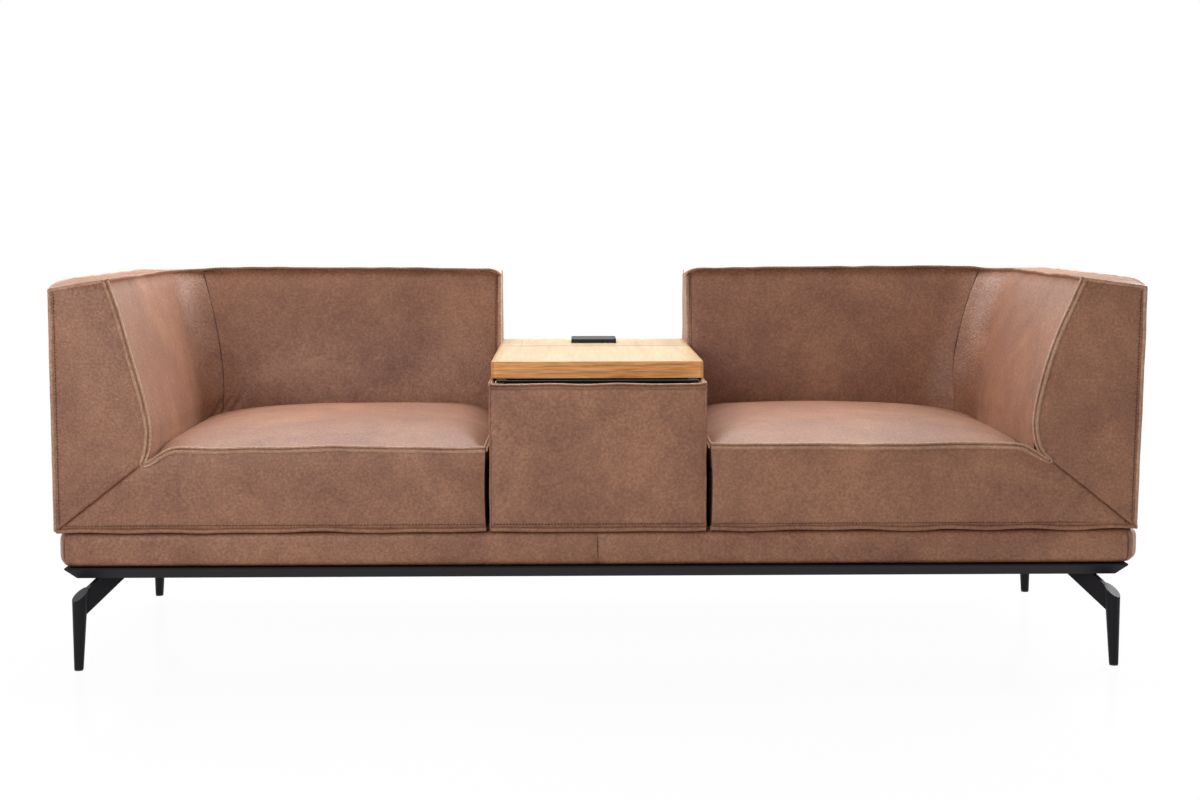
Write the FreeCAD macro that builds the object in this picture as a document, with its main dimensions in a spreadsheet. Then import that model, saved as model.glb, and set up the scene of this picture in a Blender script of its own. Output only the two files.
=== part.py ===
import FreeCAD, Part
import math
import os
import re

import Sketcher

# Two-seater sofa with a console between the seats.
# Units are millimetres. X runs along the width, the front faces -Y, Z is up.
# The origin lies on the floor under the middle of the sofa.

os.makedirs("parts", exist_ok=True)
doc = FreeCAD.newDocument("two_seater_sofa")
Vector = FreeCAD.Vector

# Driving dimensions
SIZES = {
    # the whole sofa
    "overall_width": 2220,
    "overall_depth": 860,
    "shell_top": 806,
    # steel frame of folded tube
    "frame_underside": 192,
    "frame_side_inset": 18,
    "frame_front_inset": 2,
    "rail_height": 24,
    "rail_width": 45,
    "rail_wall": 3,
    "rail_lip": 3,
    "rail_bevel": 21,
    "cross_rail_width": 40,
    "cut_overrun": 5,
    # legs
    "leg_inset": 20,
    "foot_radius": 9.5,
    "post_radius": 16.5,
    "post_low_side": 144,
    "post_high_side": 170,
    "glide_thickness": 3,
    "glide_stem_radius": 4,
    "glide_stem_length": 12,
    "glide_rim": 0.5,
    "glide_clearance": 0.1,
    "arm_plate_thickness": 12,
    "arm_plate_rise": 49,
    "arm_plate_low": 119,
    "arm_plate_slope": 0.695,
    "arm_plate_root": 10,
    "leg_plate_thickness": 8,
    "leg_plate_reach": 149,
    "leg_plate_shoulder": 80,
    "leg_plate_nose": 20,
    "leg_plate_gap": 1,
    "bolt_radius": 4,
    "bolt_head_radius": 7.5,
    "bolt_head_height": 5,
    "bolt_length": 46,
    "bolt_near": 62,
    "bolt_far": 130,
    "bolt_far_offset": 40,
    "bolt_clearance": 0.3,
    # timber plinth under its padded leather band
    "plinth_side_inset": 10,
    "plinth_front_inset": 4,
    "plinth_height": 74,
    "plinth_board": 22,
    "plinth_pad": 20,
    "plinth_pad_edge": 11,
    "plinth_pad_rim": 1,
    "beam_width": 60,
    "inner_beam_start": 195,
    "outer_beam_inset": 44,
    # seats
    "seat_inner": 229.5,
    "seat_front_height": 457,
    "seat_crown": 36,
    "seat_shoulder": 150,
    "seat_gap": 0.5,
    "seat_rail_board": 22,
    "seat_rail_height": 102,
    "seat_rail_setback": 48,
    "seat_rail_short": 26,
    "seat_rail_inset": 2.5,
    "board_gap": 1,
    "front_panel_depth": 40,
    "mitre_height": 430,
    "mitre_foot": 5,
    "mitre_head": 15,
    "webbing_width": 60,
    "webbing_thickness": 2,
    "webbing_count": 6,
    "webbing_inset": 10,
    # arms and backs, which share one leaning section
    "wall_seat_thickness": 200,
    "wall_top_thickness": 118,
    "wall_seat_level": 500,
    "corner_radius": 120,
    "corner_seam": 65,
    "back_end": 223,
    "shell_lift": 3,
    "pad_gap": 0.3,
    "crown_drop": 18,
    "crown_width": 88,
    "crown_round": 12,
    "wall_board": 18,
    "wall_board_inset": 38,
    "wall_board_height": 450,
    "arm_board_setback": 22,
    "back_board_setback": 17,
    # console
    "console_half": 220.5,
    "console_top": 588,
    "console_front_pad": 43,
    "console_side_pad": 10,
    "console_rear_pad": 12,
    "console_board": 18,
    "panel_rounding": 6,
    "liner_wall": 4,
    "liner_rim_thickness": 4,
    "liner_rim_inset": 28,
    "liner_rim_half": 208,
    "liner_floor_height": 352,
    "oak_underside": 596,
    "oak_thickness": 35,
    "lid_setback": 90,
    "rear_board_length": 267,
    "liner_hinge_gap": 16.5,
    "liner_gap": 0.5,
    "liner_rear_gap": 2,
    "oak_easing": 1.5,
    # hinge of the lid
    "hinge_gap": 3.6,
    "hinge_drop": 3,
    "leaf_thickness": 1.2,
    "leaf_drop": 26,
    "knuckle_radius": 2.6,
    "pin_radius": 1.3,
    "running_gap": 0.05,
    "hinge_length": 406,
    "knuckle_count": 5,
    "knuckle_end_gap": 0.3,
    "knuckle_clearance": 0.6,
    # charging unit on the rear board
    "unit_half": 53,
    "unit_rear_inset": 53,
    "unit_depth": 117,
    "unit_height": 9.5,
    "unit_floor": 2,
    "cheek": 4,
    "flap_gap": 0.3,
    "flap_lift": 1,
    "flap_thickness": 6,
    "flap_axis_back": 10,
    "flap_setback": 0.5,
    "barrel_gap": 1,
    "stub_radius": 1.5,
    "stub_length": 2.5,
    "stub_end_gap": 0.3,
    "insert_half": 39.5,
    "insert_length": 81,
    "insert_depth": 31,
    "insert_flange": 4.5,
    "insert_setback": 10.5,
    "insert_gap": 0.5,
    "flange_gap": 0.2,
    "insert_wall": 2,
    "insert_recess": 18,
    "socket_radius": 15,
    "socket_depth": 6,
    "socket_spacing": 37,
}

sheet = doc.addObject("Spreadsheet::Sheet", "Dims")
for row, (alias, value) in enumerate(SIZES.items(), start=1):
    sheet.set(f"A{row}", alias)
    sheet.set(f"B{row}", str(value))
    sheet.setAlias(f"B{row}", alias)
doc.recompute()

NODES = []


def size(alias):
    """The value of one driving dimension."""
    return float(sheet.get(alias))


def formula(text):
    """A formula in the names of the driving dimensions, as the document writes it."""
    return re.sub(
        r"[a-z][a-z_]+",
        lambda word: "Dims." + word.group(0) if word.group(0) in SIZES else word.group(0),
        str(text),
    )


# Heights and faces that several pieces share, as formulas of the driving dimensions
HALF_WIDTH = "overall_width / 2"
FRAME_HALF = "(overall_width / 2 - frame_side_inset)"
FRAME_TOP = "(frame_underside + rail_height)"
PLINTH_TOP = "(frame_underside + rail_height + plinth_height)"
SHELL_BOTTOM = "(frame_underside + rail_height + plinth_height + shell_lift)"
SEAT_RAIL_TOP = f"({PLINTH_TOP} + seat_rail_height)"
SEAT_DEPTH = "(overall_depth - wall_seat_thickness)"
SEAT_OUTER = f"({HALF_WIDTH} - wall_seat_thickness)"
BOARD_OUTER = f"({HALF_WIDTH} - wall_board_inset)"
BOARD_INNER = f"({HALF_WIDTH} - wall_board_inset - wall_board)"
PLINTH_BOARD_SIDE = f"({HALF_WIDTH} - plinth_side_inset - plinth_pad)"
PLINTH_BOARD_FRONT = "(plinth_front_inset + plinth_pad)"
OAK_TOP = "(oak_underside + oak_thickness)"
HINGE_HEIGHT = f"({OAK_TOP} - hinge_drop)"
HINGE_LINE = "(overall_depth - rear_board_length)"
BEAM_STARTS = {"inner": "inner_beam_start", "outer": f"({SEAT_OUTER} - outer_beam_inset)"}
SIDES = {"left": -1, "right": 1}


def place(item, x, depth, z, yaw=0):
    """Put an object at x, at a depth behind the front plane and at height z, turned about Z."""
    item.Placement = FreeCAD.Placement(Vector(), FreeCAD.Rotation(Vector(0, 0, 1), yaw))
    item.setExpression(".Placement.Base.x", formula(x))
    item.setExpression(".Placement.Base.y", formula(f"({depth}) - overall_depth / 2"))
    item.setExpression(".Placement.Base.z", formula(z))


def keep(item, label):
    """List an object as a sub-part under its label."""
    item.Label = label
    NODES.append(item)
    return item


def block(label, across, depths, heights):
    """A box given by its limits along X, behind the front plane and along Z."""
    item = doc.addObject("Part::Box", label)
    for name, (low, high) in zip(("Length", "Width", "Height"), (across, depths, heights)):
        item.setExpression(name, formula(f"({high}) - ({low})"))
    place(item, across[0], depths[0], heights[0])
    return item


def span(side, inner, outer):
    """Limits along X of a piece that lies from inner to outer on one side."""
    if side > 0:
        return (inner, outer)
    return (f"-({outer})", f"-({inner})")


def fuse(label, base, tool):
    """Two objects joined into one."""
    item = doc.addObject("Part::Fuse", label)
    item.Base = base
    item.Tool = tool
    return item


def group(label, items):
    """Separate solids that share one node."""
    item = doc.addObject("Part::Compound", label)
    item.Links = items
    return item


def new_body(label):
    return doc.addObject("PartDesign::Body", label)


def sketch_on(body, role, offset="0"):
    """A sketch on one of the body's origin planes, moved along the plane's normal."""
    sketch = body.newObject("Sketcher::SketchObject", "outline")
    origin_plane = [plane for plane in body.Origin.OriginFeatures if plane.Role == role][0]
    sketch.AttachmentSupport = (origin_plane, [""])
    sketch.MapMode = "FlatFace"
    sketch.setExpression(".AttachmentOffset.Base.z", formula(offset))
    return sketch


def add_polygon(sketch, corners):
    """A closed outline whose every corner is held by two formulas."""
    start = sketch.GeometryCount
    count = len(corners)
    for index in range(count):
        turn = 2 * math.pi * index / count
        following = 2 * math.pi * (index + 1) / count
        sketch.addGeometry(
            Part.LineSegment(
                Vector(math.cos(turn), math.sin(turn), 0),
                Vector(math.cos(following), math.sin(following), 0),
            ),
            False,
        )
    for index in range(count):
        following = start + (index + 1) % count
        sketch.addConstraint(Sketcher.Constraint("Coincident", start + index, 2, following, 1))
    for index, corner in enumerate(corners):
        for kind, text in zip(("DistanceX", "DistanceY"), corner):
            number = sketch.addConstraint(Sketcher.Constraint(kind, -1, 1, start + index, 1, 1.0))
            sketch.setExpression(f"Constraints[{number}]", formula(text))


def add_rectangle(sketch, across, along):
    corners = [
        (across[0], along[0]),
        (across[1], along[0]),
        (across[1], along[1]),
        (across[0], along[1]),
    ]
    add_polygon(sketch, corners)


def add_circle(sketch, u, v, radius):
    """A circle whose centre and radius are held by formulas."""
    index = sketch.addGeometry(Part.Circle(Vector(1, 1, 0), Vector(0, 0, 1), 1), False)
    for kind, text in (("DistanceX", u), ("DistanceY", v)):
        number = sketch.addConstraint(Sketcher.Constraint(kind, -1, 1, index, 3, 1.0))
        sketch.setExpression(f"Constraints[{number}]", formula(text))
    number = sketch.addConstraint(Sketcher.Constraint("Radius", index, 1.0))
    sketch.setExpression(f"Constraints[{number}]", formula(radius))


def pad(body, sketch, length, symmetric=False):
    feature = body.newObject("PartDesign::Pad", "pad")
    feature.Profile = sketch
    feature.setExpression("Length", formula(length))
    if symmetric:
        feature.SideType = "Symmetric"
    return feature


def pocket(body, sketch, depth=None):
    """A cut downwards by a depth, or right through the body both ways."""
    feature = body.newObject("PartDesign::Pocket", "pocket")
    feature.Profile = sketch
    if depth is None:
        feature.Type = "ThroughAll"
        feature.SideType = "Symmetric"
    else:
        feature.setExpression("Length", formula(depth))
    return feature


def round_edges(body, feature, radius, wanted):
    """Round those edges of a feature whose middle point passes a test."""
    doc.recompute()
    names = []
    for number, edge in enumerate(feature.Shape.Edges, start=1):
        middle = edge.valueAt((edge.FirstParameter + edge.LastParameter) / 2)
        if wanted(middle, edge):
            names.append(f"Edge{number}")
    rounded = body.newObject("PartDesign::Fillet", "rounding")
    rounded.Base = (feature, names)
    rounded.setExpression("Radius", formula(radius))
    return rounded


# Steel frame: four mitred rails of folded tube with a lip and a bevel below it
RAIL_OUTLINE = [
    ("0", "rail_height"),
    ("0", "rail_height - rail_lip"),
    ("rail_bevel", "0"),
    ("rail_width", "0"),
    ("rail_width", "rail_height"),
]
RAIL_HOLLOW = [
    ("rail_wall", "rail_height - rail_wall"),
    ("rail_wall", "rail_height - rail_lip - rail_wall * tan(22.5)"),
    ("rail_bevel + rail_wall * tan(22.5)", "rail_wall"),
    ("rail_width - rail_wall", "rail_wall"),
    ("rail_width - rail_wall", "rail_height - rail_wall"),
]


def mitred_rail(label, length, x, depth, yaw):
    """One rail along local X, its outer edge at local Y zero, cut at 45 degrees at both ends."""
    body = new_body(label)
    section = sketch_on(body, "YZ_Plane", f"-({length}) / 2")
    add_polygon(section, RAIL_OUTLINE)
    add_polygon(section, RAIL_HOLLOW)
    pad(body, section, length)
    mitres = sketch_on(body, "XY_Plane")
    for end in (-1, 1):
        corners = [
            (f"{end} * (({length}) / 2 + cut_overrun)", "-cut_overrun"),
            (f"{end} * (({length}) / 2 - rail_width - cut_overrun)", "rail_width + cut_overrun"),
            (f"{end} * (({length}) / 2 + cut_overrun)", "rail_width + cut_overrun"),
        ]
        add_polygon(mitres, corners)
    pocket(body, mitres)
    place(body, x, depth, "frame_underside", yaw)
    return keep(body, label)


FRAME_LENGTH = "(overall_depth - 2 * frame_front_inset)"
mitred_rail("rail_front", f"2 * {FRAME_HALF}", "0", "frame_front_inset", 0)
mitred_rail("rail_rear", f"2 * {FRAME_HALF}", "0", "overall_depth - frame_front_inset", 180)
mitred_rail("rail_left", FRAME_LENGTH, f"-{FRAME_HALF}", "overall_depth / 2", -90)
mitred_rail("rail_right", FRAME_LENGTH, FRAME_HALF, "overall_depth / 2", 90)

# Cross rails: rectangular tubes between the front and rear rails, under the plinth beams
RAIL_INSIDE = "(frame_front_inset + rail_width)"
for name, side in SIDES.items():
    body = new_body(f"cross_rail_{name}")
    section = sketch_on(body, "XZ_Plane")
    centre = f"{side} * (inner_beam_start + beam_width / 2)"
    across = (f"{centre} - cross_rail_width / 2", f"{centre} + cross_rail_width / 2")
    add_rectangle(section, across, ("0", "rail_height"))
    bore = (f"{across[0]} + rail_wall", f"{across[1]} - rail_wall")
    add_rectangle(section, bore, ("rail_wall", "rail_height - rail_wall"))
    pad(body, section, f"overall_depth - 2 * {RAIL_INSIDE}", symmetric=True)
    place(body, "0", "overall_depth / 2", "frame_underside")
    keep(body, f"cross_rail_{name}")

# Legs: a slanted arm plate under the corner of the frame carries a tapered round post.
# Each leg stands on the diagonal of its corner; local X points along it to the middle.
CORNERS = {
    "front_left": (-1, 1, 45),
    "front_right": (1, 1, 135),
    "rear_left": (-1, -1, -45),
    "rear_right": (1, -1, -135),
}
PLATE_START = "((rail_width - leg_inset) * sqrt(2) + leg_plate_gap)"
PLATE_END = f"({PLATE_START} + leg_plate_reach)"
PLATE_OUTLINE = [
    (PLATE_START, "0"),
    (f"{PLATE_START} + leg_plate_shoulder", "-leg_plate_shoulder"),
    (PLATE_END, "-leg_plate_nose"),
    (PLATE_END, "leg_plate_nose"),
    (f"{PLATE_START} + leg_plate_shoulder", "leg_plate_shoulder"),
]
BOLT_PLACES = [
    ("bolt_near", "0"),
    ("bolt_far", "bolt_far_offset"),
    ("bolt_far", "-bolt_far_offset"),
]
POST_SHIFT = "(post_radius - foot_radius)"
POST_INNER = "(2 * post_radius - foot_radius)"
POST_RISE = "(post_high_side - glide_thickness)"
POST_LENGTH = f"sqrt({POST_RISE}^2 + {POST_SHIFT}^2)"
POST_LEAN = f"atan({POST_SHIFT} / {POST_RISE})"
PLATE_UNDERSIDE = f"({FRAME_TOP} - leg_plate_thickness)"


def at_corner(item, corner, height):
    """Put an object at the foot of one leg, with its local X along the diagonal."""
    side, front, yaw = CORNERS[corner]
    inset = f"({FRAME_HALF} - leg_inset)"
    depth = "frame_front_inset + leg_inset"
    if front < 0:
        depth = f"overall_depth - ({depth})"
    place(item, f"{side} * {inset}", depth, height, yaw)


def leg(corner):
    label = f"leg_{corner}"
    body = new_body(label)
    cone = sketch_on(body, "XZ_Plane", "0")
    cone.setExpression(".AttachmentOffset.Rotation.Angle", formula(f"-{POST_LEAN}"))
    widening = f"(post_radius - foot_radius) / {POST_LENGTH} * 2 * cut_overrun"
    cone_profile = [
        ("0", "-2 * cut_overrun"),
        (f"foot_radius - {widening}", "-2 * cut_overrun"),
        (f"post_radius + {widening}", f"{POST_LENGTH} + 2 * cut_overrun"),
        ("0", f"{POST_LENGTH} + 2 * cut_overrun"),
    ]
    add_polygon(cone, cone_profile)
    post = body.newObject("PartDesign::Revolution", "post")
    post.Profile = cone
    post.ReferenceAxis = (cone, ["V_Axis"])
    post.Angle = 360
    level = sketch_on(body, "XZ_Plane")
    wide = "(2 * post_radius)"
    add_rectangle(level, (f"-{wide}", wide), ("-post_radius", "glide_thickness"))
    pocket(body, level)
    slant = sketch_on(body, "XZ_Plane")
    rise = "(post_high_side - post_low_side)"
    top_cut = [
        ("-foot_radius - post_radius", f"post_low_side - {rise} / 2"),
        (f"{POST_INNER} + post_radius", f"post_high_side + {rise} / 2"),
        (f"{POST_INNER} + post_radius", "post_high_side + 3 * post_radius"),
        ("-foot_radius - post_radius", "post_high_side + 3 * post_radius"),
    ]
    add_polygon(slant, top_cut)
    pocket(body, slant)
    bore = sketch_on(body, "XY_Plane", "glide_thickness + glide_stem_length + glide_rim")
    add_circle(bore, "0", "0", "glide_stem_radius + glide_clearance")
    pocket(body, bore, "glide_stem_length + 2 * glide_rim")
    arm = sketch_on(body, "XZ_Plane")
    start = f"({POST_INNER} - arm_plate_root)"
    reach = f"({PLATE_UNDERSIDE} - arm_plate_low) / arm_plate_slope"
    upper = f"({PLATE_UNDERSIDE} - arm_plate_low - arm_plate_rise) / arm_plate_slope"
    arm_outline = [
        (start, "arm_plate_low - arm_plate_root * arm_plate_slope"),
        (f"{POST_INNER} + {reach}", PLATE_UNDERSIDE),
        (f"{POST_INNER} + {upper}", PLATE_UNDERSIDE),
        (POST_INNER, "arm_plate_low + arm_plate_rise"),
        (start, "arm_plate_low + arm_plate_rise - arm_plate_root"),
    ]
    add_polygon(arm, arm_outline)
    pad(body, arm, "arm_plate_thickness", symmetric=True)
    plate = sketch_on(body, "XY_Plane", PLATE_UNDERSIDE)
    add_polygon(plate, PLATE_OUTLINE)
    for along, across in BOLT_PLACES:
        add_circle(plate, along, across, "bolt_radius + bolt_clearance")
    pad(body, plate, "leg_plate_thickness")
    at_corner(body, corner, "0")
    return keep(body, label)


def corner_block(corner):
    """A timber block over the leg plate, drilled for the bolts."""
    body = new_body(f"corner_block_{corner}")
    outline = sketch_on(body, "XY_Plane")
    add_polygon(outline, PLATE_OUTLINE)
    for along, across in BOLT_PLACES:
        add_circle(outline, along, across, "bolt_radius + bolt_clearance")
    pad(body, outline, "plinth_height - board_gap")
    at_corner(body, corner, FRAME_TOP)
    return body


def corner_bolts(corner):
    """The three bolts that hold one leg plate to its block."""
    bolts = []
    for along, across in BOLT_PLACES:
        shank = doc.addObject("Part::Cylinder", "shank")
        shank.setExpression("Radius", formula("bolt_radius"))
        shank.setExpression("Height", formula("bolt_length"))
        head = doc.addObject("Part::Prism", "head")
        head.Polygon = 6
        head.setExpression("Circumradius", formula("bolt_head_radius"))
        head.setExpression("Height", formula("bolt_head_height"))
        head.setExpression(".Placement.Base.z", formula("-bolt_head_height"))
        bolt = fuse("bolt", shank, head)
        bolt.setExpression(".Placement.Base.x", formula(along))
        bolt.setExpression(".Placement.Base.y", formula(across))
        bolts.append(bolt)
    item = group(f"bolts_{corner}", bolts)
    at_corner(item, corner, PLATE_UNDERSIDE)
    return item


def glide(corner):
    """A plastic disc under the foot with its stem in the post."""
    disc = doc.addObject("Part::Cylinder", "disc")
    disc.setExpression("Radius", formula("foot_radius - glide_rim"))
    disc.setExpression("Height", formula("glide_thickness"))
    stem = doc.addObject("Part::Cylinder", "stem")
    stem.setExpression("Radius", formula("glide_stem_radius"))
    stem.setExpression("Height", formula("glide_thickness + glide_stem_length"))
    item = fuse(f"glide_{corner}", disc, stem)
    at_corner(item, corner, "0")
    return item


for corner in CORNERS:
    leg(corner)
keep(group("foot_glides", [glide(corner) for corner in CORNERS]), "foot_glides")
keep(group("corner_blocks", [corner_block(corner) for corner in CORNERS]), "corner_blocks")
keep(group("leg_bolts", [corner_bolts(corner) for corner in CORNERS]), "leg_bolts")

# Plinth: a timber box of four boards with beams between, inside a padded leather band
PLINTH_HEIGHTS = (FRAME_TOP, PLINTH_TOP)
BOARD_BACK = f"(overall_depth - {PLINTH_BOARD_FRONT})"
INSIDE_FRONT = f"({PLINTH_BOARD_FRONT} + plinth_board)"
INSIDE_REAR = f"({BOARD_BACK} - plinth_board)"
FULL_ACROSS = (f"-{PLINTH_BOARD_SIDE}", PLINTH_BOARD_SIDE)
BOARD_ENDS = {"front": (PLINTH_BOARD_FRONT, INSIDE_FRONT), "rear": (INSIDE_REAR, BOARD_BACK)}
for name, depths in BOARD_ENDS.items():
    label = f"plinth_board_{name}"
    keep(block(label, FULL_ACROSS, depths, PLINTH_HEIGHTS), label)
BETWEEN_BOARDS = (INSIDE_FRONT, INSIDE_REAR)
for name, side in SIDES.items():
    across = span(side, f"{PLINTH_BOARD_SIDE} - plinth_board", PLINTH_BOARD_SIDE)
    label = f"plinth_board_{name}"
    keep(block(label, across, BETWEEN_BOARDS, PLINTH_HEIGHTS), label)
    for kind, start in BEAM_STARTS.items():
        across = span(side, start, f"{start} + beam_width")
        label = f"plinth_beam_{kind}_{name}"
        keep(block(label, across, BETWEEN_BOARDS, PLINTH_HEIGHTS), label)


def soft_feature(label, shape):
    """A padded piece with its shape worked out from the driving dimensions."""
    item = doc.addObject("Part::Feature", label)
    item.Shape = shape
    return keep(item, label)


def closed_wire(steps):
    """A wire through points; a step that holds two points is an arc through the first to the second."""
    edges = []
    position = steps[-1][-1]
    for step in steps:
        if len(step) == 2:
            edges.append(Part.Arc(position, step[0], step[1]).toShape())
        else:
            edges.append(Part.LineSegment(position, step[0]).toShape())
        position = step[-1]
    return Part.Wire(edges)


def plinth_band(length, left_cut, right_cut):
    """A bulging padded band along X, its back at Y zero, mitred at the ends that are asked for."""
    pad_depth = size("plinth_pad")
    edge = size("plinth_pad_edge")
    height = size("plinth_height")
    rim = size("plinth_pad_rim")
    start = -pad_depth if left_cut else 0.0
    end = length + pad_depth if right_cut else length
    outline = closed_wire(
        [
            [Vector(start, 0, rim)],
            [Vector(start, -edge, rim)],
            [Vector(start, -pad_depth, height / 2), Vector(start, -edge, height - rim)],
            [Vector(start, 0, height - rim)],
        ]
    )
    band = Part.Face(outline).extrude(Vector(end - start, 0, 0))
    beyond = 2 * pad_depth
    for cut, corner, outward in ((left_cut, 0.0, -1.0), (right_cut, length, 1.0)):
        if not cut:
            continue
        triangle = Part.makePolygon(
            [
                Vector(corner, 0, 0),
                Vector(corner + outward * beyond, 0, 0),
                Vector(corner + outward * beyond, -beyond, 0),
                Vector(corner, 0, 0),
            ]
        )
        band = band.cut(Part.Face(triangle).extrude(Vector(0, 0, height)))
    return band.Solids[0]


def band_at(label, length, x, depth, yaw, left_cut=True, right_cut=True):
    item = soft_feature(label, plinth_band(length, left_cut, right_cut))
    frame_top = size("frame_underside") + size("rail_height")
    where = Vector(x, depth - size("overall_depth") / 2, frame_top)
    item.Placement = FreeCAD.Placement(where, FreeCAD.Rotation(Vector(0, 0, 1), yaw))


board_side = size("overall_width") / 2 - size("plinth_side_inset") - size("plinth_pad")
board_front = size("plinth_front_inset") + size("plinth_pad")
board_back = size("overall_depth") - board_front
skin = size("pad_gap") / 2
half_band = board_side - skin
band_at("plinth_band_front_left", half_band, -board_side, board_front - skin, 0, right_cut=False)
band_at("plinth_band_front_right", half_band, skin, board_front - skin, 0, left_cut=False)
band_at("plinth_band_rear", 2 * board_side, board_side, board_back + skin, 180)
band_at("plinth_band_left", board_back - board_front, -board_side - skin, board_back, -90)
band_at("plinth_band_right", board_back - board_front, board_side + skin, board_front, 90)

# Timber inside the arms and backs, and the seat rails with their elastic straps
WALL_BOARD_HEIGHTS = (PLINTH_TOP, f"{PLINTH_TOP} + wall_board_height")
BACK_BOARD_REAR = "(overall_depth - wall_board_inset)"
BACK_BOARD_FRONT = f"({BACK_BOARD_REAR} - wall_board)"
ARM_BOARD_FRONT = "(front_panel_depth + arm_board_setback)"
SEAT_RAIL_FRONT = "(front_panel_depth + board_gap)"
SEAT_RAIL_REAR = f"({SEAT_DEPTH} - seat_rail_setback)"
SEAT_RAIL_HEIGHTS = (PLINTH_TOP, SEAT_RAIL_TOP)
seat_rear = size("overall_depth") - size("wall_seat_thickness")
seat_outer = size("overall_width") / 2 - size("wall_seat_thickness")
for name, side in SIDES.items():
    across = span(side, BOARD_INNER, BOARD_OUTER)
    depths = (ARM_BOARD_FRONT, BACK_BOARD_REAR)
    keep(block(f"arm_board_{name}", across, depths, WALL_BOARD_HEIGHTS), f"arm_board_{name}")
    across = span(side, "back_end + back_board_setback", BOARD_INNER)
    depths = (BACK_BOARD_FRONT, BACK_BOARD_REAR)
    keep(block(f"back_board_{name}", across, depths, WALL_BOARD_HEIGHTS), f"back_board_{name}")
    across = span(side, "seat_inner + seat_rail_inset", f"{SEAT_OUTER} - 2 * board_gap")
    depths = (SEAT_RAIL_FRONT, f"{SEAT_RAIL_FRONT} + seat_rail_board")
    keep(block(f"seat_rail_front_{name}", across, depths, SEAT_RAIL_HEIGHTS), f"seat_rail_front_{name}")
    across = span(side, "seat_inner + seat_rail_inset", f"{SEAT_OUTER} - seat_rail_short")
    depths = (f"{SEAT_RAIL_REAR} - seat_rail_board", SEAT_RAIL_REAR)
    keep(block(f"seat_rail_rear_{name}", across, depths, SEAT_RAIL_HEIGHTS), f"seat_rail_rear_{name}")
    straps = []
    count = int(size("webbing_count"))
    for number in range(count):
        width = f"({SEAT_OUTER} - seat_rail_short - seat_inner)"
        pitch = f"({width} - webbing_width - 2 * webbing_inset) / (webbing_count - 1)"
        low = f"seat_inner + webbing_inset + {number} * {pitch}"
        across = span(side, low, f"{low} + webbing_width")
        depths = (SEAT_RAIL_FRONT, SEAT_RAIL_REAR)
        heights = (SEAT_RAIL_TOP, f"{SEAT_RAIL_TOP} + webbing_thickness")
        straps.append(block(f"strap_{name}_{number}", across, depths, heights))
    keep(group(f"seat_webbing_{name}", straps), f"seat_webbing_{name}")

# Front panels: the leather front under each seat, mitred against the foot of the arm
MITRE_OUTER = f"({HALF_WIDTH} - mitre_foot)"
MITRE_INNER = f"({SEAT_OUTER} + mitre_head)"
for name, side in SIDES.items():
    body = new_body(f"front_panel_{name}")
    outline = sketch_on(body, "XZ_Plane")
    corners = [
        (f"{side} * seat_inner", SHELL_BOTTOM),
        (f"{side} * {MITRE_OUTER}", SHELL_BOTTOM),
        (f"{side} * {MITRE_INNER}", "mitre_height"),
        (f"{side} * ({SEAT_OUTER} - board_gap)", "mitre_height"),
        (f"{side} * ({SEAT_OUTER} - board_gap)", "seat_front_height"),
        (f"{side} * seat_inner", "seat_front_height"),
    ]
    add_polygon(outline, corners)
    pad(body, outline, "front_panel_depth")
    place(body, "0", "front_panel_depth", "0")
    keep(body, f"front_panel_{name}")

# Arms and backs: one leaning section, wrapped round the inner corner in a wide curve
# The lean grows with this power of the height over the seat. CROWN_STEPS holds, as shares
# of the crown's drop, width and rounding, how the top edge rises and draws in.
LEAN_POWER = 1.7
LEAN_STEPS = 5
CROWN_STEPS = [(0.3, 0.09, 0.0), (0.7, 0.5, 0.08), (0.92, 0.84, 0.33), (1.0, 1.0, 1.0)]
CROWN_END = 0.06
FOOT_ROUNDING = (3.0, 12.0)


def wall_thickness(height):
    """Thickness of an arm or back at a height: full up to the seat, thinner towards the top."""
    seat_level = size("wall_seat_level")
    rise = max(0.0, height - seat_level) / (size("shell_top") - seat_level)
    lost = size("wall_seat_thickness") - size("wall_top_thickness")
    return size("wall_seat_thickness") - lost * rise**LEAN_POWER


def wall_levels():
    """Heights of the sections with how far the outer and the inner face draw in there."""
    bottom = size("frame_underside") + size("rail_height") + size("plinth_height") + size("shell_lift")
    top = size("shell_top")
    drop = size("crown_drop")
    seat_level = size("wall_seat_level")
    rounding, rounding_height = FOOT_ROUNDING
    levels = [(bottom, rounding, 0.0), (bottom + rounding_height, 0.0, 0.0)]
    for number in range(LEAN_STEPS + 1):
        height = seat_level + (top - drop - seat_level) * number / LEAN_STEPS
        levels.append((height, 0.0, 0.0))
    for rise, outer_share, inner_share in CROWN_STEPS:
        outer_inset = outer_share * size("crown_width")
        inner_inset = inner_share * size("crown_round")
        levels.append((top - drop * (1.0 - rise), outer_inset, inner_inset))
    return levels


class Corner:
    """The concave inner corner of one section: where its faces, its arc and its seam lie."""

    def __init__(self, height, outer_inset, inner_inset):
        thickness = wall_thickness(height)
        self.outer = size("overall_width") / 2 - outer_inset
        self.rear = size("overall_depth") - outer_inset
        self.inner = size("overall_width") / 2 - thickness + inner_inset
        self.face = size("overall_depth") - thickness + inner_inset
        self.radius = size("corner_radius") + inner_inset
        self.seam = size("overall_width") / 2 - thickness - size("corner_seam")
        self.centre = (self.inner - self.radius, self.face - self.radius)

    def on_arc(self, angle):
        """A point of the arc, from 0 at the arm to a quarter turn at the back."""
        x = self.centre[0] + self.radius * math.cos(angle)
        depth = self.centre[1] + self.radius * math.sin(angle)
        return (x, depth)

    def seam_angle(self, shift=0.0):
        return math.acos((self.seam - shift - self.centre[0]) / self.radius)


def wall_point(side, flat, height):
    return Vector(side * flat[0], flat[1] - size("overall_depth") / 2, height)


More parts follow.
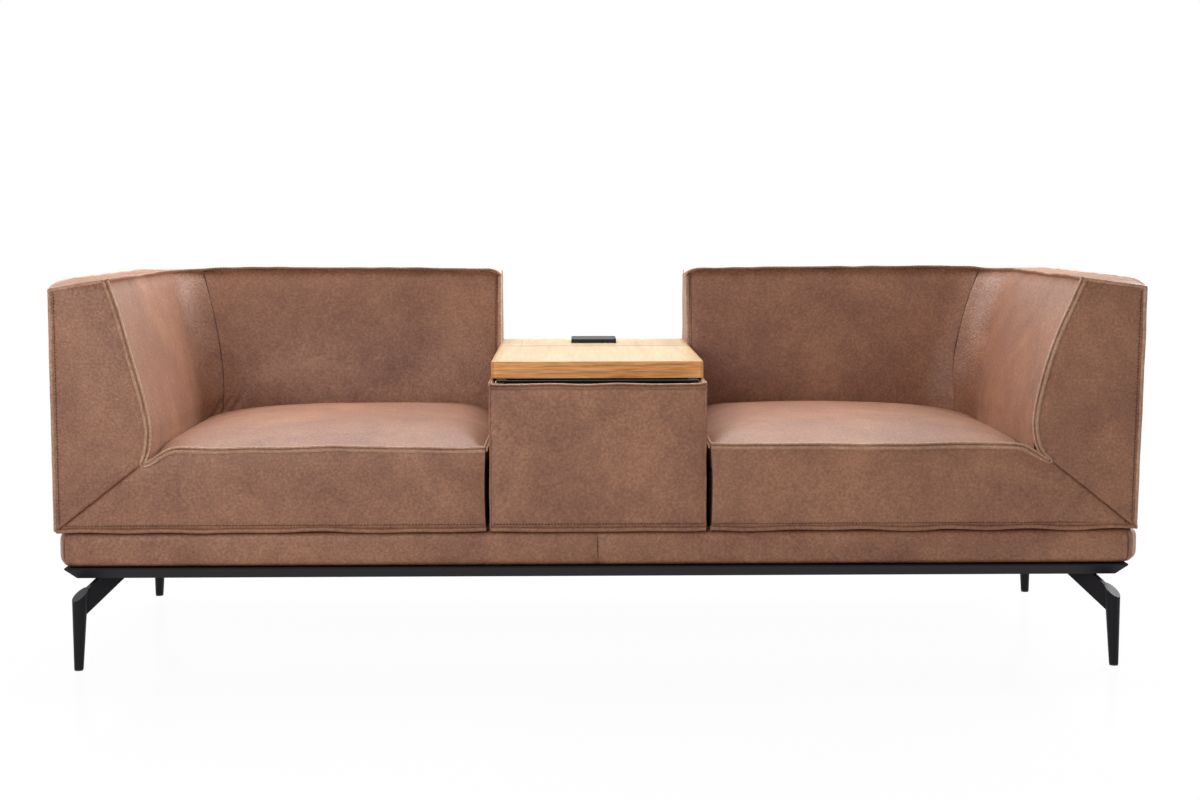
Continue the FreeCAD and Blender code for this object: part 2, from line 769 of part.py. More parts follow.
def arm_section(side, height, outer_inset, inner_inset):
    corner = Corner(height, outer_inset, inner_inset)
    front = CROWN_END * outer_inset
    turn = corner.seam_angle()
    steps = [
        [(corner.outer, front)],
        [(corner.outer, corner.rear)],
        [(corner.seam, corner.rear)],
        [corner.on_arc(turn)],
        [corner.on_arc(turn / 2), corner.on_arc(0.0)],
        [(corner.inner, front)],
    ]
    return closed_wire([[wall_point(side, flat, height) for flat in step] for step in steps])


def back_section(side, height, outer_inset, inner_inset):
    corner = Corner(height, outer_inset, inner_inset)
    gap = size("pad_gap")
    end = size("back_end") + CROWN_END * outer_inset
    turn = corner.seam_angle(gap)
    steps = [
        [(end, corner.rear)],
        [(corner.seam - gap, corner.rear)],
        [corner.on_arc(turn)],
        [corner.on_arc((turn + math.pi / 2) / 2), corner.on_arc(math.pi / 2)],
        [(end, corner.face)],
    ]
    return closed_wire([[wall_point(side, flat, height) for flat in step] for step in steps])


def lofted(make_section, side):
    wires = [make_section(side, *level) for level in wall_levels()]
    return Part.makeLoft(wires, True, True)


def room_for(board):
    """The slot round a board: its box, grown by the gap and open below."""
    doc.recompute()
    box = board.Shape.BoundBox
    gap = size("pad_gap")
    below = size("wall_board")
    corner = Vector(box.XMin - gap, box.YMin - gap, box.ZMin - below)
    lengths = (box.XLength + 2 * gap, box.YLength + 2 * gap, box.ZLength + gap + below)
    return Part.makeBox(*lengths, corner)


def panel_room(panel):
    """The space of a front panel in the foot of the arm, with the gap of the mitre seam."""
    gap = size("pad_gap")
    shapes = []
    for shift in (Vector(0, 0, 0), Vector(0, gap, gap), Vector(0, -1, gap), Vector(0, gap, 0)):
        moved = panel.Shape.copy()
        moved.translate(shift)
        shapes.append(moved)
    return shapes


for name, side in SIDES.items():
    arm = lofted(arm_section, side)
    back = lofted(back_section, side)
    for kind in ("arm", "back"):
        slot = room_for(doc.getObject(f"{kind}_board_{name}"))
        arm = arm.cut(slot)
        back = back.cut(slot)
    for tool in panel_room(doc.getObject(f"front_panel_{name}")):
        arm = arm.cut(tool)
    soft_feature(f"arm_pad_{name}", arm.Solids[0] if len(arm.Solids) == 1 else arm)
    soft_feature(f"back_pad_{name}", back.Solids[0] if len(back.Solids) == 1 else back)

# Seat cushions: crowned, rounded where they meet the inner corner, lipped over the front panel.
# Each level holds its share of the crown's rise, then the insets of the front, inner, outer
# and rear sides as shares of the shoulder.
SEAT_LEVELS = [
    (0.0, 0.0, 0.0, 0.0, 0.0),
    (0.25, 0.0, 0.09, 0.0, 0.0),
    (0.55, 0.08, 0.25, 0.15, 0.02),
    (0.8, 0.35, 0.52, 0.5, 0.1),
    (1.0, 1.0, 1.0, 1.2, 0.4),
]


def seat_section(side, height, front_in, inner_in, outer_in, rear_in):
    gap = size("seat_gap")
    low = size("seat_inner") + inner_in
    high = seat_outer - gap - outer_in
    rear = seat_rear - gap - rear_in
    radius = size("corner_radius") - gap
    middle = radius * math.sqrt(0.5)
    centre = (high - radius, rear - radius)
    steps = [
        [(low, front_in)],
        [(high, front_in)],
        [(high, centre[1])],
        [(centre[0] + middle, centre[1] + middle), (centre[0], rear)],
        [(low, rear)],
    ]
    return closed_wire([[wall_point(side, flat, height) for flat in step] for step in steps])


plinth_top = size("frame_underside") + size("rail_height") + size("plinth_height")
seat_bottom = plinth_top + size("seat_rail_height") + size("webbing_thickness") + size("pad_gap")
seat_edge = size("seat_front_height") + size("pad_gap")
for name, side in SIDES.items():
    wires = [seat_section(side, seat_bottom, 0.0, 0.0, 0.0, 0.0)]
    for rise, *shares in SEAT_LEVELS:
        height = seat_edge + rise * size("seat_crown")
        insets = [share * size("seat_shoulder") for share in shares]
        wires.append(seat_section(side, height, *insets))
    cushion = Part.makeLoft(wires, True, True)
    lip_depth = size("front_panel_depth") + size("pad_gap")
    half_width = size("overall_width") / 2
    over = size("cut_overrun")
    notch_corner = Vector(-half_width, -size("overall_depth") / 2 - over, seat_bottom - over)
    notch_height = seat_edge - seat_bottom + over
    notch = Part.makeBox(2 * half_width, lip_depth + over, notch_height, notch_corner)
    soft_feature(f"seat_cushion_{name}", cushion.cut(notch).Solids[0])

# Console: padded leather panels on two side boards round a black storage box
CONSOLE_HEIGHTS = (SHELL_BOTTOM, "console_top")
SIDE_PAD_INNER = "(console_half - console_side_pad)"
REAR_PAD_FRONT = "(overall_depth - console_rear_pad)"
RIM_UNDERSIDE = "(oak_underside - liner_rim_thickness)"


def rounded_panel(label, across, depths, outer_depth):
    """A padded panel with its long outer edges rounded."""
    body = new_body(label)
    outline = sketch_on(body, "XY_Plane", SHELL_BOTTOM)
    along = [f"({depth}) - overall_depth / 2" for depth in depths]
    add_rectangle(outline, across, along)
    feature = pad(body, outline, f"console_top - {SHELL_BOTTOM}")
    half = size("console_half")
    rounded = round_edges(
        body,
        feature,
        "panel_rounding",
        lambda middle, edge: abs(abs(middle.x) - half) < 0.01
        and abs(middle.y - outer_depth) < 0.01
        and edge.BoundBox.ZLength > 1,
    )
    body.Tip = rounded
    return keep(body, label)


CONSOLE_ACROSS = ("-console_half", "console_half")
half_depth = size("overall_depth") / 2
rounded_panel("console_front_panel", CONSOLE_ACROSS, ("0", "console_front_pad"), -half_depth)
rounded_panel("console_rear_panel", CONSOLE_ACROSS, (REAR_PAD_FRONT, "overall_depth"), half_depth)
for name, side in SIDES.items():
    depths = ("console_front_pad", REAR_PAD_FRONT)
    across = span(side, SIDE_PAD_INNER, "console_half")
    label = f"console_side_panel_{name}"
    keep(block(label, across, depths, CONSOLE_HEIGHTS), label)
    across = span(side, f"{SIDE_PAD_INNER} - console_board", SIDE_PAD_INNER)
    label = f"console_board_{name}"
    keep(block(label, across, depths, (PLINTH_TOP, RIM_UNDERSIDE)), label)

# Storage box: black, open at the top, hung by its rim on the side boards
LINER_HALF = f"({SIDE_PAD_INNER} - console_board - liner_gap)"
LINER_FRONT = "(console_front_pad + liner_gap)"
LINER_REAR = f"({HINGE_LINE} - liner_hinge_gap)"
body = new_body("storage_box")
rim = sketch_on(body, "XY_Plane", RIM_UNDERSIDE)
RIM_REAR = f"({REAR_PAD_FRONT} - liner_rear_gap)"
RIM_ENDS = ("liner_rim_inset - overall_depth / 2", f"{RIM_REAR} - overall_depth / 2")
add_rectangle(rim, ("-liner_rim_half", "liner_rim_half"), RIM_ENDS)
pad(body, rim, "liner_rim_thickness")
tub = sketch_on(body, "XY_Plane", "liner_floor_height")
TUB_ENDS = (f"{LINER_FRONT} - overall_depth / 2", f"{LINER_REAR} - overall_depth / 2")
add_rectangle(tub, (f"-{LINER_HALF}", LINER_HALF), TUB_ENDS)
pad(body, tub, f"{RIM_UNDERSIDE} - liner_floor_height")
hollow = sketch_on(body, "XY_Plane", "oak_underside")
WALL = "liner_wall"
HOLLOW_ENDS = (f"{TUB_ENDS[0]} + {WALL}", f"{TUB_ENDS[1]} - {WALL}")
add_rectangle(hollow, (f"-{LINER_HALF} + {WALL}", f"{LINER_HALF} - {WALL}"), HOLLOW_ENDS)
pocket(body, hollow, "oak_underside - liner_floor_height - liner_wall")
keep(body, "storage_box")

# Oak top: a lid over the storage and a fixed board behind it
LONG_EDGE = 200


def oak_board(label, depths, cut=None):
    """An oak board with eased upper edges, and a hole where one is asked for."""
    body = new_body(label)
    outline = sketch_on(body, "XY_Plane", "oak_underside")
    along = [f"({depth}) - overall_depth / 2" for depth in depths]
    add_rectangle(outline, CONSOLE_ACROSS, along)
    feature = pad(body, outline, "oak_thickness")
    top = size("oak_underside") + size("oak_thickness")
    if cut is not None:
        hole = sketch_on(body, "XY_Plane", OAK_TOP)
        add_rectangle(hole, *cut)
        feature = pocket(body, hole)
    half = size("console_half")
    seam = half_depth - size("rear_board_length")
    rounded = round_edges(
        body,
        feature,
        "oak_easing",
        lambda middle, edge: abs(middle.z - top) < 0.01
        and (abs(abs(middle.x) - half) < 0.01 or abs(middle.x) < 0.01)
        and abs(middle.y - seam) > LONG_EDGE / 2
        and max(edge.BoundBox.XLength, edge.BoundBox.YLength) > LONG_EDGE,
    )
    body.Tip = rounded
    return keep(body, label)


UNIT_FRONT = "(overall_depth - unit_rear_inset - unit_depth)"
UNIT_CENTRE = f"({UNIT_FRONT} + insert_length / 2 + insert_setback)"
INSERT_ENDS = (
    f"{UNIT_CENTRE} - insert_length / 2 - overall_depth / 2",
    f"{UNIT_CENTRE} + insert_length / 2 - overall_depth / 2",
)
insert_hole = (
    ("-insert_half - insert_gap", "insert_half + insert_gap"),
    (f"{INSERT_ENDS[0]} - insert_gap", f"{INSERT_ENDS[1]} + insert_gap"),
)
oak_board("console_lid", ("lid_setback", f"{HINGE_LINE} - hinge_gap"))
oak_board("console_rear_board", (f"{HINGE_LINE} + hinge_gap", "overall_depth"), insert_hole)

# Hinge of the lid: two leaves down the facing edges, knuckles between the upper edges, one pin
HINGE_START = "-hinge_length / 2"
KNUCKLE_PITCH = "hinge_length / knuckle_count"
HINGE_DEPTH = f"{HINGE_LINE} - overall_depth / 2"


def hinge_leaf(label, direction, first):
    """One leaf; direction is -1 on the lid and 1 on the fixed board, first its first knuckle."""
    body = new_body(label)
    inner = f"{direction} * (hinge_gap - leaf_thickness)"
    outer = f"{direction} * hinge_gap"
    leaf = sketch_on(body, "YZ_Plane", HINGE_START)
    clear = "knuckle_radius + knuckle_clearance"
    add_rectangle(leaf, (inner, outer), ("-leaf_drop", f"-({clear})"))
    pad(body, leaf, "hinge_length")
    for number in range(first, int(size("knuckle_count")), 2):
        start = f"{HINGE_START} + {number} * {KNUCKLE_PITCH} + knuckle_end_gap / 2"
        length = f"{KNUCKLE_PITCH} - knuckle_end_gap"
        web = sketch_on(body, "YZ_Plane", start)
        add_rectangle(web, (inner, outer), (f"-({clear}) - leaf_thickness", "0"))
        pad(body, web, length)
        tie = sketch_on(body, "YZ_Plane", start)
        add_rectangle(tie, ("0", outer), ("-leaf_thickness", "0"))
        pad(body, tie, length)
        barrel = sketch_on(body, "YZ_Plane", start)
        add_circle(barrel, "0", "0", "knuckle_radius")
        pad(body, barrel, length)
    bore = sketch_on(body, "YZ_Plane")
    add_circle(bore, "0", "0", "pin_radius + running_gap")
    pocket(body, bore)
    place(body, "0", HINGE_LINE, HINGE_HEIGHT)
    return keep(body, label)


hinge_leaf("hinge_leaf_fixed", 1, 0)
hinge_leaf("hinge_leaf_lid", -1, 1)
pin = doc.addObject("Part::Cylinder", "hinge_pin")
pin.setExpression("Radius", formula("pin_radius"))
pin.setExpression("Height", formula("hinge_length"))
pin.Placement = FreeCAD.Placement(Vector(), FreeCAD.Rotation(Vector(0, 1, 0), 90))
pin.setExpression(".Placement.Base.x", formula(HINGE_START))
pin.setExpression(".Placement.Base.y", formula(HINGE_DEPTH))
pin.setExpression(".Placement.Base.z", formula(HINGE_HEIGHT))
keep(pin, "hinge_pin")

# Charging unit: a flat bezel on the rear board, a flap between its cheeks, a recess with sockets
UNIT_Y = (f"{UNIT_FRONT} - overall_depth / 2", f"{UNIT_FRONT} + unit_depth - overall_depth / 2")
FLAP_AXIS_Y = f"({UNIT_Y[1]} - flap_axis_back)"
FLAP_UNDERSIDE = f"({OAK_TOP} + unit_floor + flap_lift)"
FLAP_AXIS_Z = f"({FLAP_UNDERSIDE} + flap_thickness / 2)"
REAR_BAR = "(flap_thickness / 2 + barrel_gap)"
body = new_body("charging_bezel")
base = sketch_on(body, "XY_Plane", OAK_TOP)
add_rectangle(base, ("-unit_half", "unit_half"), UNIT_Y)
pad(body, base, "unit_height")
channel = sketch_on(body, "XY_Plane", f"{OAK_TOP} + unit_height")
channel_ends = (f"{UNIT_Y[0]} - cut_overrun", f"{FLAP_AXIS_Y} + {REAR_BAR}")
add_rectangle(channel, ("-unit_half + cheek", "unit_half - cheek"), channel_ends)
pocket(body, channel, "unit_height - unit_floor")
window = sketch_on(body, "XY_Plane", OAK_TOP)
FLANGE = "(insert_flange + flange_gap)"
window_ends = (f"{INSERT_ENDS[0]} - {FLANGE}", f"{INSERT_ENDS[1]} + {FLANGE}")
add_rectangle(window, (f"-insert_half - {FLANGE}", f"insert_half + {FLANGE}"), window_ends)
pocket(body, window)
stubs = sketch_on(body, "YZ_Plane")
add_circle(stubs, FLAP_AXIS_Y, FLAP_AXIS_Z, "stub_radius + running_gap")
stub_cut = body.newObject("PartDesign::Pocket", "stub_holes")
stub_cut.Profile = stubs
stub_cut.SideType = "Symmetric"
stub_cut.setExpression("Length", formula("2 * (unit_half - cheek + stub_length + stub_end_gap)"))
keep(body, "charging_bezel")

body = new_body("charging_flap")
plate = sketch_on(body, "XY_Plane", FLAP_UNDERSIDE)
flap_half = "(unit_half - cheek - flap_gap)"
add_rectangle(plate, (f"-{flap_half}", flap_half), (f"{UNIT_Y[0]} + flap_setback", FLAP_AXIS_Y))
pad(body, plate, "flap_thickness")
barrel = sketch_on(body, "YZ_Plane")
add_circle(barrel, FLAP_AXIS_Y, FLAP_AXIS_Z, "flap_thickness / 2")
pad(body, barrel, f"2 * {flap_half}", symmetric=True)
stubs = sketch_on(body, "YZ_Plane")
add_circle(stubs, FLAP_AXIS_Y, FLAP_AXIS_Z, "stub_radius")
pad(body, stubs, "2 * (unit_half - cheek + stub_length)", symmetric=True)
keep(body, "charging_flap")

body = new_body("charging_insert")
flange = sketch_on(body, "XY_Plane", OAK_TOP)
flange_ends = (f"{INSERT_ENDS[0]} - insert_flange", f"{INSERT_ENDS[1]} + insert_flange")
add_rectangle(flange, ("-insert_half - insert_flange", "insert_half + insert_flange"), flange_ends)
pad(body, flange, "unit_floor")
cup = sketch_on(body, "XY_Plane", f"{OAK_TOP} - insert_depth")
add_rectangle(cup, ("-insert_half", "insert_half"), INSERT_ENDS)
pad(body, cup, "insert_depth")
recess = sketch_on(body, "XY_Plane", f"{OAK_TOP} + unit_floor")
recess_ends = (f"{INSERT_ENDS[0]} + insert_wall", f"{INSERT_ENDS[1]} - insert_wall")
add_rectangle(recess, ("-insert_half + insert_wall", "insert_half - insert_wall"), recess_ends)
pocket(body, recess, "insert_recess")
sockets = sketch_on(body, "XY_Plane", f"{OAK_TOP} + unit_floor - insert_recess")
for side in SIDES.values():
    across = f"{side} * socket_spacing / 2"
    add_circle(sockets, across, f"{UNIT_CENTRE} - overall_depth / 2", "socket_radius")
pocket(body, sockets, "socket_depth")
keep(body, "charging_insert")

# Check every object, then write each sub-part
doc.recompute()
for item in doc.Objects:
    if "Invalid" in item.State or "Error" in item.State:
        raise SystemExit(f"{item.Label} failed: {item.State}")
for item in NODES:
    shape = item.Shape
    if shape.isNull() or not shape.isValid():
        raise SystemExit(f"{item.Label} has no valid shape")
for item in NODES:
    item.Shape.exportStep(os.path.join("parts", f"{item.Label}.step"))
print(len(NODES), "sub-parts written")
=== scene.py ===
import math

import bmesh
import bpy
import numpy as np
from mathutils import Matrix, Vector


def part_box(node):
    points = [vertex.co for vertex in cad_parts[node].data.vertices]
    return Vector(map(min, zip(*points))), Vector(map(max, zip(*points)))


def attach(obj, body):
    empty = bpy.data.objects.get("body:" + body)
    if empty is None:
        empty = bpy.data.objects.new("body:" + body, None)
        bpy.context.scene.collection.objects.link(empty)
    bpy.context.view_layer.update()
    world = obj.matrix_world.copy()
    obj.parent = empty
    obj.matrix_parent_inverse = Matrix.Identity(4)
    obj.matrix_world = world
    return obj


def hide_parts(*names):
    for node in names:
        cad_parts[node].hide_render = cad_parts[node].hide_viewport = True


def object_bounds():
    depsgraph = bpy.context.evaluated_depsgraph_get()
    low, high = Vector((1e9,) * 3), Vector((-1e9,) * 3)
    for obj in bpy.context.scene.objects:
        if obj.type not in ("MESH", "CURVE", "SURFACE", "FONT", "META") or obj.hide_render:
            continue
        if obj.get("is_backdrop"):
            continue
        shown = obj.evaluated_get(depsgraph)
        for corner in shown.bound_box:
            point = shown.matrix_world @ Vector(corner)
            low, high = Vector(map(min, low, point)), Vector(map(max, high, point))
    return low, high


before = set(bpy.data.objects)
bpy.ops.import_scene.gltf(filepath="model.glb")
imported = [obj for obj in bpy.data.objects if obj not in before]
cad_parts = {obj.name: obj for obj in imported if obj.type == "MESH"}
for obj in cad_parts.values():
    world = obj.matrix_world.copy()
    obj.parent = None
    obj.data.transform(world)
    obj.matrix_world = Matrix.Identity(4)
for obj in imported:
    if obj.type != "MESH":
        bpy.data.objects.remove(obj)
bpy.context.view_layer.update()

# Camera
# A long lens four and a half metres in front of the sofa, a little higher than its backs,
# looking slightly down.
lens = bpy.data.cameras.new("camera")
lens.sensor_width = 36.0
lens.lens = 60.0
camera = bpy.data.objects.new("camera", lens)
camera.location = (-0.0568, -4.483, 0.933)
camera.rotation_euler = (math.pi / 2 - 0.0921, 0.0018, -0.0152)
bpy.context.collection.objects.link(camera)
bpy.context.scene.camera = camera


# Studio
# A white painted floor and a white room round it. A large softbox hangs above the backs, one
# stands at the left front and two light the arms from behind.
def srgb(code):
    """A hex colour as linear red, green, blue and alpha."""
    values = [int(code[start:start + 2], 16) / 255 for start in (1, 3, 5)]
    linear = [v / 12.92 if v <= 0.04045 else ((v + 0.055) / 1.055) ** 2.4 for v in values]
    return (*linear, 1.0)


def add(tree, kind, inputs=None, stops=None, to=None, **settings):
    """A shader node with its settings, its ramp stops, and the socket that it feeds. An input
    is a value, a socket, or a node whose first output is meant."""
    node = tree.nodes.new("ShaderNode" + kind)
    for name, value in settings.items():
        setattr(node, name, value)
    for name, value in (inputs or {}).items():
        if isinstance(value, bpy.types.Node):
            value = value.outputs[0]
        if isinstance(value, bpy.types.NodeSocket):
            tree.links.new(value, node.inputs[name])
        else:
            node.inputs[name].default_value = value
    if stops:
        elements = node.color_ramp.elements
        while len(elements) < len(stops):
            elements.new(0.5)
        for element, (place, code) in zip(elements, stops):
            element.position = place
            element.color = srgb(code)
    if to:
        tree.links.new(node.outputs[0], to)
    return node


def finish_of(name, sockets):
    """A material whose one shader has these values: its tree, shader and object coordinates."""
    material = bpy.data.materials.new(name)
    material.use_nodes = True
    tree = material.node_tree
    shader = tree.nodes["Principled BSDF"]
    for socket, value in sockets.items():
        shader.inputs[socket].default_value = value
    place = add(tree, "TexCoord").outputs["Object"]
    return material, tree, shader, place


def seen_directly(tree):
    """1 for what the camera sees, also through glass or in a gloss, and 0 for what lights the
    sofa."""
    ray = add(tree, "LightPath").outputs
    straight = {0: ray["Is Camera Ray"], 1: ray["Is Transmission Ray"]}
    first = add(tree, "Math", straight, operation="MAXIMUM")
    return add(tree, "Math", {0: first, 1: ray["Is Glossy Ray"]}, operation="MAXIMUM")


FLOOR_HALF = 14.0
SHADOW_NEAR = 1.2
SHADOW_REACH = 2.6
FLOOR_WHITE = 0.955
ROOM_LIGHT = 0.33
WHITE = srgb("#ffffff")

floor_mesh = bpy.data.meshes.new("floor")
corners = [(x * FLOOR_HALF, y * FLOOR_HALF, 0.0) for x, y in ((-1, -1), (1, -1), (1, 1), (-1, 1))]
floor_mesh.from_pydata(corners, [], [(0, 1, 2, 3)])
floor = bpy.data.objects.new("floor", floor_mesh)
bpy.context.collection.objects.link(floor)
floor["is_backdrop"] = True

# Satin floor paint. Its white is plain in the picture, and a faint shadow stays on it.
paint_values = {"Base Color": srgb("#efefef"), "Roughness": 0.12}
floor_paint, tree, shader, place = finish_of("floor_paint", paint_values)
glow = add(tree, "Emission", {"Color": WHITE, "Strength": 1.0})
away = add(tree, "VectorMath", {0: place}, operation="LENGTH").outputs["Value"]
spread = {"Value": away, "From Min": SHADOW_NEAR, "From Max": SHADOW_REACH}
fade = add(tree, "MapRange", {**spread, "To Min": FLOOR_WHITE, "To Max": 1.0})
share = add(tree, "Math", {0: seen_directly(tree), 1: fade}, operation="MULTIPLY")
surface = tree.nodes["Material Output"].inputs["Surface"]
add(tree, "MixShader", {0: share, 1: shader, 2: glow}, to=surface)
floor_mesh.materials.append(floor_paint)

world = bpy.data.worlds.new("white_room")
bpy.context.scene.world = world
world.use_nodes = True
room = world.node_tree.nodes["Background"].inputs
room["Color"].default_value = WHITE
seen = seen_directly(world.node_tree)
levels = {"Value": seen, "To Min": ROOM_LIGHT, "To Max": 1.0}
add(world.node_tree, "MapRange", levels, to=room["Strength"])


def softbox(name, size, power, place, aim):
    """A rectangular area light that faces a point."""
    light = bpy.data.lights.new(name, "AREA")
    light.shape = "RECTANGLE"
    light.size, light.size_y = size
    light.energy = power
    lamp = bpy.data.objects.new(name, light)
    lamp.location = place
    lamp.rotation_euler = (Vector(aim) - Vector(place)).to_track_quat("-Z", "Y").to_euler()
    bpy.context.collection.objects.link(lamp)


softbox("softbox_top", (3.2, 1.2), 98.0, (-0.3, 1.0, 2.75), (-0.1, -0.1, 0.4))
softbox("softbox_front", (1.4, 1.1), 45.0, (-1.4, -3.2, 1.5), (-0.2, 0.0, 0.4))
softbox("softbox_right", (1.2, 1.0), 112.0, (2.5, 1.6, 1.9), (-1.0, 0.0, 0.7))
softbox("softbox_left", (1.2, 1.0), 36.0, (-2.3, 2.0, 1.9), (1.0, 0.0, 0.7))
bpy.context.scene.view_settings.view_transform = "Standard"


# Steel frame and legs
# Mitred rails of folded sheet, cross rails and four slanted legs, all mild steel.
# They are powder coated black, which leaves a fine orange-peel skin with a low gloss.
GRIT = 0.0014


def powder_coat():
    """Black powder coat. Its skin ripples about every millimetre, which breaks up the gloss."""
    values = {"Roughness": 0.5, "IOR": 1.5, "Specular IOR Level": 0.15}
    material, tree, shader, place = finish_of("powder_coated_steel", values)
    grit = add(tree, "TexNoise", {"Vector": place, "Scale": 1 / GRIT, "Detail": 2.0})
    tones = [(0.3, "#0f0c10"), (0.7, "#19161b")]
    add(tree, "ValToRGB", {"Fac": grit}, stops=tones, to=shader.inputs["Base Color"])
    gloss = {"Value": grit, "To Min": 0.38, "To Max": 0.56}
    add(tree, "MapRange", gloss, to=shader.inputs["Roughness"])
    skin = {"Height": grit, "Strength": 0.3, "Distance": 0.0002}
    add(tree, "Bump", skin, to=shader.inputs["Normal"])
    return material


def paint(material, *names):
    """Give a material to the nodes whose names start with one of these words."""
    for name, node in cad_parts.items():
        if name.startswith(names):
            node.data.materials.clear()
            node.data.materials.append(material)


paint(powder_coat(), "rail_", "cross_rail_", "leg_front", "leg_rear")


# Bolts, glides and hinge
# The legs are held by zinc-plated bolts and stand on black nylon glides. The lid turns on a
# slim black steel hinge of two leaves and a pin.
def clouded(name, dark, light, metallic, roughness, grain, specular=0.5):
    """A plated, moulded, pressed or spun surface whose colour and gloss vary with its grain.
    The grain is drawn several times as coarse as the real one, so that it shows."""
    values = {"Metallic": metallic, "Roughness": roughness, "Specular IOR Level": specular}
    material, tree, shader, place = finish_of(name, values)
    cloud = add(tree, "TexNoise", {"Vector": place, "Scale": 1 / grain, "Detail": 4.0})
    tones = [(0.35, dark), (0.65, light)]
    add(tree, "ValToRGB", {"Fac": cloud}, stops=tones, to=shader.inputs["Base Color"])
    gloss = {"Value": cloud, "To Min": roughness - 0.08, "To Max": roughness + 0.08}
    add(tree, "MapRange", gloss, to=shader.inputs["Roughness"])
    return material


# Zinc plate shows soft silver clouds, moulded nylon an even satin black, and black zinc a dark
# gleam.
paint(clouded("zinc_plate", "#9a9c9e", "#c4c6c8", 1.0, 0.32, 0.004), "leg_bolts")
paint(clouded("nylon_black", "#1a1a1b", "#232324", 0.0, 0.5, 0.002), "foot_glides")
paint(clouded("black_zinc", "#202022", "#303033", 0.9, 0.4, 0.003), "hinge_")


# Timber and straps
# Boards of planed spruce make the plinth box, the cores of arms and backs and the seat
# rails. Woven elastic straps are stretched over the rails under each cushion.
RING_WIDTH = 0.006
STRAP_THREAD = 0.0022
WAVE_TURN = 6.28


def spruce():
    """Planed spruce: pale straight growth rings, drawn twice as wide as the real ones."""
    material, tree, shader, place = finish_of("planed_spruce", {"Roughness": 0.62})
    stretched = add(tree, "Mapping", {"Vector": place, "Scale": (0.06, 0.06, 1.0)})
    rings = add(tree, "TexNoise", {"Vector": stretched, "Scale": 1 / RING_WIDTH, "Detail": 3.0})
    tones = [(0.35, "#c79c66"), (0.5, "#dcb887"), (0.65, "#e6c899")]
    add(tree, "ValToRGB", {"Fac": rings}, stops=tones, to=shader.inputs["Base Color"])
    return material


def elastic():
    """Woven elastic: dark ribs across the strap, drawn twice as wide as the real threads."""
    material, tree, shader, place = finish_of("elastic_webbing", {"Roughness": 0.85})
    ribs = 1 / STRAP_THREAD / WAVE_TURN
    across = add(tree, "TexWave", {"Vector": place, "Scale": ribs, "Distortion": 0.4})
    tones = [(0.2, "#1c1c1e"), (0.8, "#34343a")]
    colour = shader.inputs["Base Color"]
    add(tree, "ValToRGB", {"Fac": across.outputs["Fac"]}, stops=tones, to=colour)
    return material


boards = ("plinth_board", "plinth_beam", "arm_board", "back_board", "console_board")
paint(spruce(), "corner_blocks", "seat_rail", *boards)
paint(elastic(), "seat_webbing")


# Plinth bands
# A strip of the same leather over foam goes round the timber plinth, sewn from five lengths.
# It bulges between its stapled edges, and its seams lie in the middle and near the corners.
CLOUD = 0.15
PATCH = 0.036
SPECK = 0.0055
PORE = 0.0042
STREAK = 0.007
RUBBED_LOW = 0.782
RUBBED_HIGH = 0.8
RUBBED = 0.3


